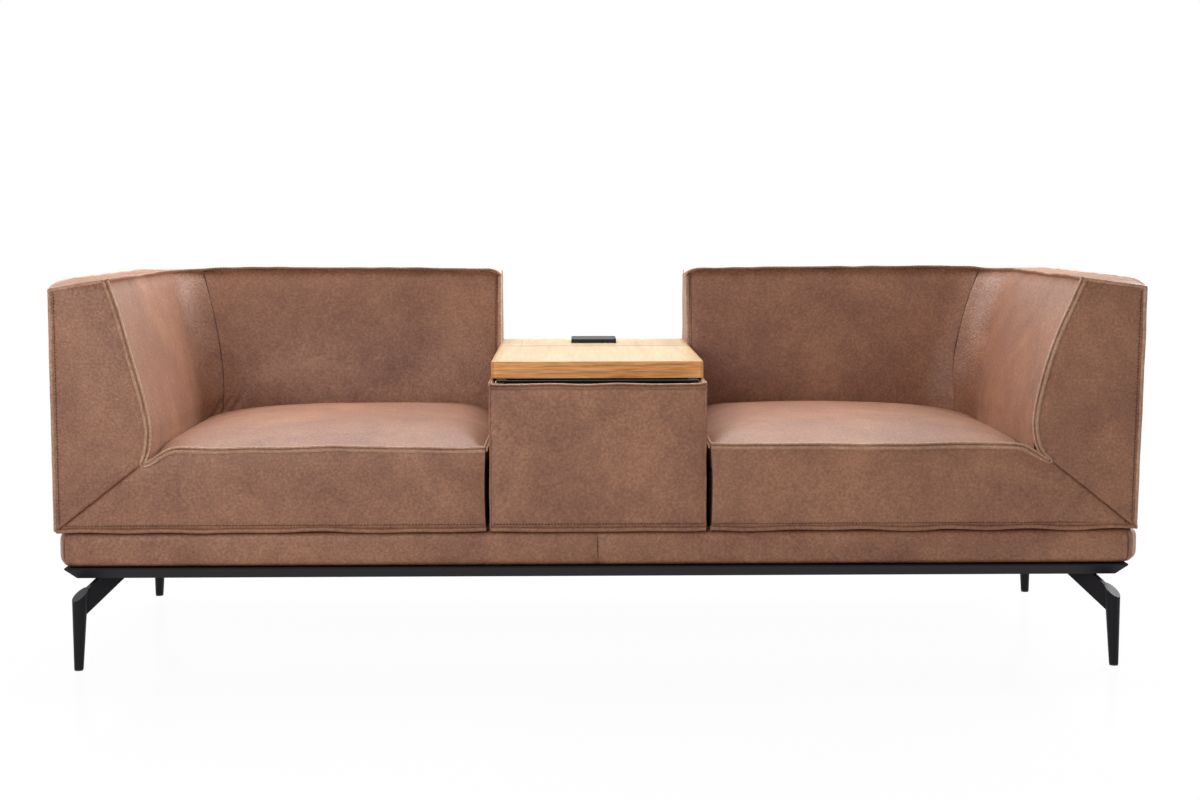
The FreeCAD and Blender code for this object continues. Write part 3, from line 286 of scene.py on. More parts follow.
def nubuck(name, tones, streaks=0.0, gloss=0.5):
    """Buffed aniline leather: cloudy dye, fine pores, a light nap, and brushed streaks. Its
    specks and pores, under 2 mm on a real hide, are drawn at 4 to 6 mm so that they show."""
    values = {"Roughness": gloss, "IOR": 1.46, "Sheen Weight": 0.09, "Sheen Roughness": 0.4}
    values["Sheen Tint"] = srgb("#f0d2bd")
    material, tree, shader, place = finish_of(name, values)
    dyed = {"Scale": 1 / CLOUD, "Detail": 5.0, "Roughness": 0.6, "Distortion": 0.5}
    cloud = add(tree, "TexNoise", {"Vector": place, **dyed})
    uneven_dye = {"Scale": 1 / PATCH, "Detail": 4.0, "Roughness": 0.65}
    patch = add(tree, "TexNoise", {"Vector": place, **uneven_dye})
    specks = {"Scale": 1 / SPECK, "Detail": 2.0, "Roughness": 0.7}
    speck = add(tree, "TexNoise", {"Vector": place, **specks})
    broad = add(tree, "Mix", {"Factor": 0.3, "A": cloud, "B": patch})
    fine = add(tree, "Mix", {"Factor": 0.47, "A": broad, "B": speck})
    stops = list(zip((0.36, 0.5, 0.64), tones))
    add(tree, "ValToRGB", {"Fac": fine}, stops=stops, to=shader.inputs["Base Color"])

    # Pale places are worn smoother, so they shine a little. The top edges are rubbed dull.
    wear = {"From Min": 0.3, "From Max": 0.7, "To Min": gloss + 0.1, "To Max": gloss - 0.08}
    worn = add(tree, "MapRange", {"Value": fine, **wear})
    height = add(tree, "SeparateXYZ", {"Vector": place}).outputs["Z"]
    edge = {"Value": height, "From Min": RUBBED_LOW, "From Max": RUBBED_HIGH, "To Max": RUBBED}
    rubbed = add(tree, "MapRange", edge)
    both = {0: worn, 1: rubbed}
    add(tree, "Math", both, operation="ADD", to=shader.inputs["Roughness"])
    dulled = {"Value": rubbed, "From Max": RUBBED, "To Min": 0.5, "To Max": 0.3}
    add(tree, "MapRange", dulled, to=shader.inputs["Specular IOR Level"])

    pits = {"Vector": place, "Scale": 1 / PORE, "Smoothness": 0.6}
    pores = add(tree, "TexVoronoi", pits, feature="SMOOTH_F1")
    skin = add(tree, "Bump", {"Height": pores, "Strength": 0.8, "Distance": 0.0008})
    if streaks:
        drawn = add(tree, "Mapping", {"Vector": place, "Scale": (1.0, 1.0, 0.1)})
        strokes = {"Vector": drawn, "Scale": 1 / STREAK, "Detail": 3.0}
        brushed = add(tree, "TexNoise", strokes)
        normal = tree.nodes["Texture Coordinate"].outputs["Normal"]
        across = add(tree, "SeparateXYZ", {"Vector": normal}).outputs["X"]
        sideways = add(tree, "Math", {0: across}, operation="ABSOLUTE")
        turned = {"Value": sideways, "From Min": 0.62, "From Max": 0.9, "To Max": streaks}
        strength = add(tree, "MapRange", turned)
        nap = {"Height": brushed, "Strength": strength, "Distance": 0.0014, "Normal": skin}
        skin = add(tree, "Bump", nap)
    tree.links.new(skin.outputs[0], shader.inputs["Normal"])
    return material


BROWN = ("#6d4434", "#865a43", "#a07053")
leather = nubuck("nubuck_brown", BROWN)
leather_brushed = nubuck("nubuck_brushed", BROWN, streaks=0.9, gloss=0.46)
SIDES = {"left": -1.0, "right": 1.0}

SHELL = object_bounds()
EDGE_LIP = 0.003
HALF_WIDTH = SHELL[1][0] - EDGE_LIP
FRONT = SHELL[0][1]
REAR = SHELL[1][1] - EDGE_LIP
BAND_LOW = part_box("plinth_board_front")[0][2]
BAND_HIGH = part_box("plinth_board_front")[1][2] + 0.001
BOARD_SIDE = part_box("plinth_board_front")[1][0]
BOARD_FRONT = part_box("plinth_board_front")[0][1]
BAND_DEPTH = 0.022
BAND_STEP = 0.014
SEAM_SHARE = 0.72
SEAM_REACH = 0.005
END_SWELL = {"left": 0.006, "right": 0.016}
EIGHTH = math.pi / 4
TURN_STEPS = 7


def ripple(points, size, seed):
    """A smooth random height from about -1 to 1 at each point, with waves of that size."""
    random = np.random.RandomState(seed)
    total = np.zeros(points.shape[:-1])
    for _ in range(8):
        direction = random.normal(size=3)
        direction /= np.linalg.norm(direction)
        wave = 2 * math.pi / (size * random.uniform(0.7, 1.6))
        total += np.sin(points @ direction * wave + random.uniform(0, 2 * math.pi))
    return total / 5


def pulled(distance, reach):
    """How far a padded surface has risen at a distance from its seam, from 0 to 1."""
    return 1 - np.exp(-np.maximum(distance, 0.0) / reach)


def uneven(points, amount, size, seed, distance, reach):
    """Soft hills and hollows that fade out toward a seam."""
    return amount * ripple(points, size, seed) * pulled(distance, reach)


def crossed(grid):
    """Normals of a grid of points, each as long as its patch is large."""
    return np.cross(np.gradient(grid, axis=0), np.gradient(grid, axis=1))


LEAN_FROM = 1.0
LEAN_START = 0.004
LEAN_WIDTH = 0.11
LEAN_HEIGHT = 0.5
LEAN_OUT = 0.011
LEAN_IN = 0.003


def leaned(points):
    """The same places where the right arm's outer side leans out toward its top. The plinth
    stays upright."""
    points = np.array(points, dtype=float)
    outer = np.clip((points[..., 0] - LEAN_FROM) / LEAN_WIDTH, 0.0, 1.0)
    rise = np.clip((points[..., 2] - BAND_HIGH) / LEAN_HEIGHT, 0.0, 1.0)
    above = np.clip((points[..., 2] - BAND_HIGH) / LEAN_START, 0.0, 1.0)
    points[..., 0] += outer * above * (LEAN_OUT * rise - LEAN_IN)
    return points


def fixed(name, mesh, material):
    """The leather or thread piece that a finished mesh makes, fixed to the sofa's body."""
    mesh.materials.append(material)
    piece = bpy.data.objects.new(name, mesh)
    bpy.context.collection.objects.link(piece)
    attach(piece, "body")
    return piece


def sewn(name, panels, material):
    """One piece from grids of points, each with the direction that its outer side faces. Its
    edges are sharp where they turn by more than 50 degrees."""
    points = []
    faces = []
    for grid, outward in panels:
        grid = leaned(grid)
        start = len(points)
        rows, columns = grid.shape[:2]
        points.extend(map(tuple, grid.reshape(-1, 3)))
        flip = np.sum(crossed(grid) * np.asarray(outward)) < 0
        for row in range(rows - 1):
            for column in range(columns - 1):
                first = start + row * columns + column
                face = (first, first + columns, first + columns + 1, first + 1)
                faces.append(face[::-1] if flip else face)
    mesh = bpy.data.meshes.new(name)
    mesh.from_pydata(points, [], faces)
    work = bmesh.new()
    work.from_mesh(mesh)
    bmesh.ops.remove_doubles(work, verts=work.verts, dist=1e-5)
    bmesh.ops.dissolve_degenerate(work, edges=work.edges, dist=1e-6)
    for face in work.faces:
        face.smooth = True
    for edge in work.edges:
        if len(edge.link_faces) == 2 and edge.calc_face_angle(0.0) > math.radians(50):
            edge.smooth = False
    work.to_mesh(mesh)
    work.free()
    return fixed(name, mesh, material)


def run_lengths(path):
    """How far along a path each of its points lies."""
    steps = np.linalg.norm(np.diff(path, axis=0), axis=1)
    return np.concatenate([[0.0], np.cumsum(steps)])


def straight(start, end, count=60):
    """Even points from one place to another."""
    share = np.linspace(0.0, 1.0, count)[:, None]
    return np.asarray(start) * (1 - share) + np.asarray(end) * share


def band_section():
    """Heights and depths of the bulging section, from the lower to the upper edge."""
    turn = np.linspace(-1.0, 1.0, 15)
    turn = np.sign(turn) * np.abs(turn) ** 0.7
    heights = BAND_LOW + (BAND_HIGH - BAND_LOW) * (turn + 1) / 2
    depths = BAND_DEPTH * np.sqrt(np.maximum(1 - np.abs(turn) ** 5, 0.0))
    return heights, depths


def band_grid(foot, outward, seed):
    """A band over foot points with outward directions, drawn in at both of its seams."""
    ends = np.where(outward[:, 0] > 0, END_SWELL["right"], END_SWELL["left"])
    fuller = 1 + ends * np.abs(outward[:, 0]) ** 3 / BAND_DEPTH
    lengths = run_lengths(foot)
    nearest = np.minimum(lengths, lengths[-1] - lengths)
    drawn_in = SEAM_SHARE + (1 - SEAM_SHARE) * pulled(nearest, SEAM_REACH)
    heights, depths = band_section()
    grid = np.zeros((len(heights), len(foot), 3))
    for row, (height, depth) in enumerate(zip(heights, depths)):
        grid[row, :, :2] = foot + outward * (depth * fuller * drawn_in)[:, None]
        grid[row, :, 2] = height
    normal = np.concatenate([outward, np.zeros((len(foot), 1))], axis=1)
    return grid + normal[None] * uneven(grid, 0.0008, 0.09, seed, nearest, 0.02)[:, :, None]


def band_feet(start, turns, end):
    """Foot points and outward ways of a band. Each turn is a corner and its first eighth."""
    feet = []
    ways = []
    here = np.asarray(start)
    for corner, eighth in [*turns, (end, None)]:
        corner = np.asarray(corner)
        gap = np.linalg.norm(corner - here)
        if gap > 1e-6:
            along = (corner - here) / gap
            run = straight(here, corner, max(int(gap / BAND_STEP), 3))
            feet.append(run)
            ways.append(np.tile((along[1], -along[0]), (len(run), 1)))
        if eighth is not None:
            angles = np.linspace(eighth, eighth + 1, TURN_STEPS) * EIGHTH
            feet.append(np.tile(corner, (TURN_STEPS, 1)))
            ways.append(np.stack([np.cos(angles), np.sin(angles)], axis=1))
        here = corner
    return np.concatenate(feet), np.concatenate(ways)


# Corners of the boards, against the clock from the right front. Each band goes round half of
# a corner at a time: its corner's number, and the eighth of a circle where it starts.
BOARD_CORNERS = [
    (BOARD_SIDE, BOARD_FRONT),
    (BOARD_SIDE, -BOARD_FRONT),
    (-BOARD_SIDE, -BOARD_FRONT),
    (-BOARD_SIDE, BOARD_FRONT),
]
FRONT_MIDDLE = (0.0, BOARD_FRONT)
BANDS = {
    "front_right": [(0, -2)],
    "right": [(0, -1), (1, 0)],
    "rear": [(1, 1), (2, 2)],
    "left": [(2, 3), (3, 4)],
    "front_left": [(3, 5)],
}
for seed, (name, turns) in enumerate(BANDS.items()):
    turns = [(BOARD_CORNERS[corner], eighth) for corner, eighth in turns]
    start = FRONT_MIDDLE if name == "front_right" else turns[0][0]
    end = FRONT_MIDDLE if name == "front_left" else turns[-1][0]
    foot, outward = band_feet(start, turns, end)
    facing = (*np.mean(outward, axis=0), 0.0)
    band = sewn(f"plinth_leather_{name}", [(band_grid(foot, outward, 11 + seed), facing)], leather)
    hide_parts(f"plinth_band_{name}")


# Arms and backs
# Foam on boards under tight leather. The arm's inner panel wraps round the corner in one wide
# curve up to a vertical seam, where the back's panel starts. Every edge has a raised flange.
WALL_SEAT = 0.200
WALL_TOP = 0.118
LEAN = 1.7
SEAT_LEVEL = 0.500
LIP = 0.004
SHELL_TOP = SHELL[1][2] - LIP
SHELL_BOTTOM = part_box("arm_pad_left")[0][2]
OUTER_TOP = 0.800
FRONT_DIP = 0.015
DIP_RUN = 0.05
ARM_TOP = OUTER_TOP - FRONT_DIP
CORNER_RADIUS = 0.120
CORNER_SEAM = 0.065
CORNER_ROUND = 0.006
CORNER_SPREAD = 0.012
SEAM_TURN = math.acos((CORNER_RADIUS - CORNER_SEAM) / CORNER_RADIUS)
SEAM_TUCK = 0.024 / (CORNER_RADIUS * math.sin(SEAM_TURN))
BACK_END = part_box("back_pad_right")[0][0]
BACK_RISE = 0.004
END_RUN = 0.7
END_DROP = 0.014
END_ROUND = 0.009
MITRE_HEIGHT = 0.430
MITRE_OUTER = HALF_WIDTH - 0.003
MITRE_INNER = HALF_WIDTH - WALL_SEAT + 0.022
MITRE_ROUND = 0.0025
MITRE_TUCK = 0.024
SWELL = 0.006
TOP_REACH = 0.016
SEAM_SINK = 0.3
SINK_REACH = 0.006
TOP_SWELL = 0.004
OUTER_SWELL = 0.003
FRONT_SWELL = 0.005

# Thickness of each arm at the seat and at the top, and how sharply it thins upward.
ARM_WALLS = {-1.0: (0.1935, 0.113, 1.2), 1.0: (0.2145, 0.118, 1.5)}

# Place, width and depth of the puckers at the foot of the left back, and their slant and
# height.
PUCKERS = {-1.0: [(0.874, 0.0045, 0.0045), (0.858, 0.0045, 0.0035), (0.838, 0.006, 0.003)]}
PUCKER_SLANT = 0.6
PUCKER_HEIGHT = 0.022


def wall_at(height, seat_wall=WALL_SEAT, top_wall=WALL_TOP, lean=LEAN):
    """Thickness of a back at a height, or of an arm with its own three values."""
    rise = max(0.0, height - SEAT_LEVEL) / (SHELL_TOP - SEAT_LEVEL)
    return seat_wall - (seat_wall - top_wall) * rise**lean


def eased(count):
    """Shares from 0 to 1 that lie closer together at both ends."""
    line = np.linspace(0.0, 1.0, count)
    return 0.5 * line + 0.5 * (0.5 - 0.5 * np.cos(math.pi * line))


def inner_line(height, stations, side):
    """Points of the inner face at a height. Stations 0-1 run along the arm, 1-2 round the
    corner to the seam, 2-3 on to the back and 3-4 along the back."""
    wall = wall_at(height)
    arm_wall = wall_at(height, *ARM_WALLS[side])
    centre_x = HALF_WIDTH - arm_wall - CORNER_RADIUS
    centre_y = REAR - wall - CORNER_RADIUS
    fall = min(1.0, max(0.0, (SHELL_TOP - height) / (SHELL_TOP - SEAT_LEVEL)))
    seam_turn = SEAM_TURN - SEAM_TUCK * fall**3
    stations = np.asarray(stations)
    turn = np.interp(stations, [1, 2, 3], [0.0, seam_turn, math.pi / 2])
    across = centre_x + CORNER_RADIUS * np.cos(turn)
    across += (BACK_END - centre_x) * np.clip(stations - 3, 0.0, 1.0)
    depth = centre_y + CORNER_RADIUS * np.sin(turn)
    depth -= (centre_y - FRONT) * np.clip(1 - stations, 0.0, 1.0)
    return np.stack([across, depth], axis=1)


def outer_line(stations):
    """Points of the outer face at the same stations, round its upright corner."""
    corner = WALL_TOP + CORNER_RADIUS
    seam_x = HALF_WIDTH - WALL_TOP - CORNER_SEAM
    bend = 1 + corner / (corner + HALF_WIDTH - seam_x)
    knots = [0, 1, bend, 2, 3, 4]
    xs = [HALF_WIDTH, HALF_WIDTH, HALF_WIDTH, seam_x, HALF_WIDTH - corner, BACK_END]
    ys = [FRONT, REAR - corner, REAR, REAR, REAR, REAR]
    points = np.stack([np.interp(stations, knots, xs), np.interp(stations, knots, ys)], axis=1)
    from_corner = np.maximum(HALF_WIDTH - points[:, 0], REAR - points[:, 1])
    return points - CORNER_ROUND * np.exp(-from_corner / CORNER_SPREAD)[:, None]


def raised(points, height):
    """Flat points at a height."""
    return np.concatenate([points, np.full((len(points), 1), height)], axis=1)


def mirrored(points, side):
    """Points or directions of the right side, moved to the given side."""
    return np.asarray(points) * np.array([side, 1.0, 1.0])


def crown_lift(stations):
    """How far the top of the back rises in its middle and rounds down at its end."""
    stations = np.asarray(stations)
    share = np.clip((stations - 2.0) / 2.0, 0.0, 1.0)
    to_end = np.clip(4.0 - stations, 0.0, 1.0) * END_RUN
    drop = END_DROP * np.exp(-to_end / END_ROUND) * (stations > 3)
    return BACK_RISE * np.sin(math.pi * share) - drop


def outer_height(stations):
    """Height of the outer top edge, which dips at the front corner of the arm."""
    arm_run = REAR - WALL_TOP - CORNER_RADIUS - FRONT
    from_front = np.clip(np.asarray(stations), 0.0, 1.0) * arm_run
    return OUTER_TOP - FRONT_DIP * np.exp(-from_front / DIP_RUN)


def inner_top(stations, side):
    """The inner top edge over stations."""
    run = raised(inner_line(SHELL_TOP, stations, side), SHELL_TOP)
    run[:, 2] += crown_lift(stations)
    return run


def outer_top(stations):
    """The outer top edge over stations."""
    run = raised(outer_line(stations), OUTER_TOP)
    run[:, 2] = outer_height(stations) + crown_lift(stations)
    return run


def inner_grid(stations, swell_at, seed, side):
    """The inner panel of an arm or a back, swollen away from its seams."""
    rows = [raised(inner_line(height, stations, side), height) for height in INNER_HEIGHTS]
    grid = mirrored(rows, side)
    above = grid[..., 2] - SEAT_LEVEL
    grid[..., 2] += np.clip(above / (SHELL_TOP - SEAT_LEVEL), 0.0, 1.0) * crown_lift(stations)
    normal = crossed(grid)
    normal /= np.maximum(np.linalg.norm(normal, axis=2, keepdims=True), 1e-12)
    over_seat = np.array([side * 0.55, 0.0, 0.65])
    if np.sum(normal * (over_seat - grid)) < 0:
        normal = -normal
    from_top = SHELL_TOP - INNER_HEIGHTS[:, None]
    swell = SWELL * pulled(from_top, TOP_REACH) * swell_at
    hills = uneven(grid, 0.0011, 0.15, seed, from_top, 0.03) * swell_at
    above = grid[..., 2] - SEAT_LEVEL
    for place, width, depth in PUCKERS.get(side, []):
        aside = np.abs(grid[..., 0]) - place + PUCKER_SLANT * above
        low = np.exp(-np.maximum(above, 0.0) / PUCKER_HEIGHT)
        swell = swell - depth * np.exp(-((aside / width) ** 2)) * low
    return grid + normal * (swell + hills)[..., None]


def top_grid(stations, side):
    """The top between both edges, slightly crowned."""
    inner = inner_top(stations, side)
    outer = outer_top(stations)
    rows = []
    for share in eased(11):
        row = inner * (1 - share) + outer * share
        row[:, 2] += TOP_SWELL * math.sin(math.pi * share) ** 0.6
        rows.append(row)
    return mirrored(rows, side)


def outer_grid(stations, side, seed):
    """The outer panel, which swells a little between its edges."""
    heights = SHELL_BOTTOM + (OUTER_TOP - SHELL_BOTTOM) * eased(34)
    grid = np.array([raised(outer_line(stations), height) for height in heights])
    share = np.clip((grid[..., 2] - SHELL_BOTTOM) / (OUTER_TOP - SHELL_BOTTOM), 0.0, 1.0)
    grid[..., 2] += share * (crown_lift(stations) + outer_height(stations) - OUTER_TOP)
    grid = mirrored(grid, side)
    from_side = HALF_WIDTH - np.abs(grid[..., 0])
    from_rear = REAR - grid[..., 1]
    edge = np.minimum(grid[..., 2] - SHELL_BOTTOM, OUTER_TOP - grid[..., 2])
    edge = np.minimum(edge, np.maximum(from_side, from_rear))
    rise = OUTER_SWELL * pulled(edge, 0.02) + uneven(grid, 0.0008, 0.18, seed, edge, 0.04)
    on_side = from_side < from_rear
    grid[..., 0] += np.where(on_side, side * rise, 0.0)
    grid[..., 1] += np.where(on_side, 0.0, rise)
    return grid


def arm_edge(height, side):
    """The inner edge of the arm's front at a height: the mitre below, the lean above."""
    if height < MITRE_HEIGHT:
        share = (height - SHELL_BOTTOM) / (MITRE_HEIGHT - SHELL_BOTTOM)
        return MITRE_OUTER + (MITRE_INNER - MITRE_OUTER) * share
    tuck = MITRE_INNER - HALF_WIDTH + ARM_WALLS[side][0]
    tuck *= math.exp(-(height - MITRE_HEIGHT) / MITRE_TUCK)
    return HALF_WIDTH - wall_at(height, *ARM_WALLS[side]) + tuck


def arm_front(side, seed):
    """The flat front of the arm, from its mitre seam to its sloping top edge."""
    columns = eased(26)
    rows = eased(60)
    full = SHELL_TOP - SHELL_BOTTOM
    grid = np.zeros((len(rows), len(columns), 3))
    for row, share in enumerate(rows):
        base = SHELL_BOTTOM + share * full
        edge = arm_edge(base, side)
        grid[row, :, 0] = side * (edge + (HALF_WIDTH - edge) * columns)
        grid[row, :, 1] = FRONT
        grid[row, :, 2] = base - (SHELL_TOP - ARM_TOP) * columns * share**6
    width = np.abs(grid[:, -1:, 0] - grid[:, :1, 0])
    from_inner = columns * width
    from_outer = (1 - columns) * width
    from_ends = np.minimum(rows, 1 - rows)[:, None] * full
    edge = np.minimum(np.minimum(from_inner, from_outer), from_ends)
    at_mitre = (grid[..., 2] < MITRE_HEIGHT) & (from_inner < from_outer)
    swell = FRONT_SWELL * pulled(edge, np.where(at_mitre, MITRE_ROUND, 0.012))
    grid[..., 1] -= swell + uneven(grid, 0.0009, 0.12, seed, edge, 0.03)
    return grid


def sunk(distance):
    """The share of its swell that a panel keeps at a distance from the corner's seam."""
    return 1 - SEAM_SINK * np.exp(-distance / SINK_REACH)


def shell_panels(stations, swell_at, seeds, side):
    """The inner, top, outer and lower panels of an arm or a back."""
    inner = inner_grid(stations, swell_at, seeds[0], side)
    outer = outer_grid(stations, side, seeds[1])
    foot = mirrored(raised(outer_line(stations), SHELL_BOTTOM), side)
    return inner, top_grid(stations, side), outer, np.stack([inner[0], foot])


ARM_STATIONS = np.concatenate([eased(46), 1 + np.linspace(0, 1, 26)[1:]])
BACK_STATIONS = np.concatenate([2 + np.linspace(0, 1, 28), 3 + eased(60)[1:]])
INNER_SHARES = np.concatenate([np.linspace(0.0, 0.3, 6), 0.3 + 0.7 * eased(52)[1:]])
INNER_HEIGHTS = SHELL_BOTTOM + (SHELL_TOP - SHELL_BOTTOM) * INNER_SHARES
ARM_RUN = 0.55
WRAP_RUN = 0.68
TURN_RUN = 0.057
BACK_RUN = 0.75
UP = (0, 0, 1)
DOWN = (0, 0, -1)
for name, side in SIDES.items():
    reach = np.interp(ARM_STATIONS, [0, 1, 2], [0.0, ARM_RUN, WRAP_RUN])
    swell_at = pulled(reach, 0.02) * sunk(WRAP_RUN - reach)
    seeds = (41 + int(side), 51 + int(side))
    inner, top, outer, low = shell_panels(ARM_STATIONS, swell_at, seeds, side)
    front = arm_front(side, 61 + int(side))
    facings = [(-side, -0.3, 0.2), UP, (side, 0.2, 0), (0, -1, 0), DOWN]
    arm = sewn(f"arm_{name}", zip((inner, top, outer, front, low), facings), leather_brushed)
    # The nap is brushed on the inner side alone, so the other sides get the plain leather.
    arm.data.materials.append(leather)
    for face in arm.data.polygons:
        x, y, z = face.normal
        if x * side > 0.8 or y < -0.97 or y > 0.8 or abs(z) > 0.9:
            face.material_index = 1
    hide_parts(f"arm_pad_{name}")

    reach = np.interp(BACK_STATIONS, [2, 3, 4], [0.0, TURN_RUN, BACK_RUN])
    swell_at = sunk(reach) * pulled(BACK_RUN - reach, 0.014)
    seeds = (71 + int(side), 81 + int(side))
    inner, top, outer, low = shell_panels(BACK_STATIONS, swell_at, seeds, side)
    scale = (OUTER_TOP - SHELL_BOTTOM) / (SHELL_TOP - SHELL_BOTTOM)
    heights = SHELL_BOTTOM + scale * (INNER_HEIGHTS - SHELL_BOTTOM)
    far = np.array([(side * BACK_END, REAR, height) for height in heights])
    end = []
    for share in eased(16):
        row = inner[:, -1] * (1 - share) + far * share
        row[:, 0] -= side * 0.004 * math.sin(math.pi * share) ** 0.5
        end.append(row)
    facings = [(0, -1, 0.2), UP, (0, 1, 0), (-side, 0, 0), DOWN]
    back = sewn(f"back_{name}", zip((inner, top, outer, np.array(end), low), facings), leather)
    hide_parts(f"back_pad_{name}")


# Front panels
# The leather front under each seat is one panel with the arm's front, joined by a diagonal
# mitre seam. Its top edge dips where it meets the arm and carries the seat's welt.
SEAT_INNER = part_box("seat_cushion_right")[0][0]
PANEL_DEPTH = 0.040
PANEL_SWELL = 0.006
PANEL_HEIGHT = 0.16
PANEL_WIDTH = 0.66
MITRE_GROOVE = 0.0004
EDGE_BLUR = 0.006
END_GAP = {-1.0: 0.001, 1.0: 0.003}

# Places across the front, from the console to the arm, and the top edge's height at each.
TURN_PLACES = [0.783, 0.865, 0.884, 0.900, 0.917, 0.9255, 1.2]
TOP_EDGES = {
    -1.0: (
        [SEAT_INNER, 0.33, 0.545, 0.687, *TURN_PLACES],
        [0.4565, 0.457, 0.461, 0.4575, 0.4565, 0.459, 0.45, 0.44, 0.43, 0.43, 0.43],
    ),
    1.0: (
        [SEAT_INNER, 0.33, 0.577, 0.733, *TURN_PLACES],
        [0.463, 0.4615, 0.461, 0.463, 0.4625, 0.461, 0.452, 0.443, 0.4345, 0.431, 0.431],
    ),
}


def front_edge(across, side):
    """Height of the front panel's top edge, smoothed over 12 mm."""
    ways = (-EDGE_BLUR, 0.0, EDGE_BLUR)
    return sum(np.interp(across + way, *TOP_EDGES[side]) for way in ways) / 3


def front_grid(side, depth, swell, seed):
    """The panel between the mitre, the console, the lower flange and the seat's welt."""
    columns = eased(64)
    rows = eased(26)
    low = SHELL_BOTTOM + 0.002
    grid = np.zeros((len(rows), len(columns), 3))
    for row, share in enumerate(rows):
        start = arm_edge(low + share * (MITRE_HEIGHT - low) - 1e-6, side) - MITRE_GROOVE
        end = SEAT_INNER + END_GAP[side] + 0.002 * math.sin(math.pi * share)
        across = start + (end - start) * columns
        grid[row, :, 0] = side * across
        grid[row, :, 1] = FRONT + depth
        grid[row, :, 2] = low + share * (front_edge(across, side) - low)
    sides = pulled(columns * PANEL_WIDTH, 0.003) * pulled((1 - columns) * PANEL_WIDTH, 0.01)
    rise = pulled(rows * PANEL_HEIGHT, 0.012) * pulled((1 - rows) * PANEL_HEIGHT, 0.018)
    grid[..., 1] -= swell * sides * (rise[:, None] + 0.2 * ripple(grid, 0.13, seed))
    return grid


def closed_slab(face, back, outward):
    """The face, the back and the four edges between them as panels."""
    centre = np.mean(face.reshape(-1, 3), axis=0)
    panels = [(face, outward), (back, -np.asarray(outward))]
    for edge in (
        np.stack([face[0], back[0]]),
        np.stack([face[-1], back[-1]]),
        np.stack([face[:, 0], back[:, 0]]),
        np.stack([face[:, -1], back[:, -1]]),
    ):
        panels.append((edge, np.mean(edge.reshape(-1, 3), axis=0) - centre))
    return panels


def flat_grid(corner, along, up, rows, columns):
    """A grid from a corner along two edges, closer together near its border."""
    grid = np.asarray(corner) + eased(rows)[:, None, None] * np.asarray(up)
    return grid + eased(columns)[None, :, None] * np.asarray(along)


# A near-black matt sheet fills the narrow gaps beside the console: painted shade for the gaps.
BORDER = 0.016
gap_shade_sheet = clouded("gap_shade_black", "#0b0b0c", "#151516", 0.0, 0.9, 0.002)
for name, side in SIDES.items():
    face = front_grid(side, 0.0, PANEL_SWELL, 91 + int(side))
    back = front_grid(side, PANEL_DEPTH, 0.0, 1)
    panel = sewn(f"front_leather_{name}", closed_slab(face, back, (0, -1, 0)), leather)
    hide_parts(f"front_panel_{name}")
    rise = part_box(f"seat_cushion_{name}")[0][2] + 0.012 - SHELL_BOTTOM
    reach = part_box(f"seat_cushion_{name}")[1][1] - FRONT - PANEL_DEPTH
    foot = (side * (SEAT_INNER + 0.0005), FRONT + PANEL_DEPTH, SHELL_BOTTOM)
    near = flat_grid(foot, (0, reach, 0), (0, 0, rise), 12, 40)
    near[..., 0] -= side * 0.0005 * ripple(near, 0.1, 97)
    far = near + np.array([side * BORDER, 0.0, 0.0])
    # The border is that sheet of painted shade, and it also hides the timber behind.
    sewn(f"seat_border_{name}", closed_slab(near, far, (-side, 0, 0)), gap_shade_sheet)


# Seat cushions
# A block of foam with wadding, covered in one crowned leather panel that is sewn to the
# front panel. It rises from the front welt and rounds over at the console and in the corner.
SEAT_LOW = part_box("seat_cushion_right")[0][2]
SEAT_REAR = REAR - WALL_SEAT - 0.001
SEAT_CROWN = 0.4975
FRONT_FALL = 0.085
CONSOLE_FALL = 0.03
ARM_FALL = 0.1
CREASE = 0.014
SINK = 0.004
CLOTH_CAP = 0.009
CLOTH_STEPS = 20
HELD_BELOW = MITRE_HEIGHT - 0.004


def arm_limit(side):
    """Where the cushion meets the arm."""
    return HALF_WIDTH - ARM_WALLS[side][0] - 0.001


def seat_top(across, depth, side):
    """Height of the cushion's top over its plan. It falls from the crown to three seams."""
    into = np.maximum(depth - FRONT, 0.0)
    from_console = np.maximum(across - SEAT_INNER, 0.0)
    from_arm = np.maximum(arm_limit(side) - across, 0.0)
    arm_seam = MITRE_HEIGHT + 0.038 * pulled(into, 0.045)
    behind = pulled(into, 0.02)
    drops = [
        (SEAT_CROWN - front_edge(across, side)) * np.exp(-into / FRONT_FALL),
        (SEAT_CROWN - front_edge(SEAT_INNER, side)) * np.exp(-from_console / CONSOLE_FALL) * behind,
        (SEAT_CROWN - arm_seam) * np.exp(-from_arm / ARM_FALL) * behind,
    ]
    crease = CREASE * np.exp(-from_arm / 0.009) * pulled(into, 0.03)
    return SEAT_CROWN - sum(drop**2.5 for drop in drops) ** 0.4 - crease


def seat_outline(depth, side):
    """Outer limit of the cushion at a depth, round its rear corner."""
    over = np.maximum(depth - (SEAT_REAR - CORNER_RADIUS), 0.0)
    round_off = CORNER_RADIUS - np.sqrt(np.maximum(CORNER_RADIUS**2 - over**2, 0.0))
    return arm_limit(side) - round_off


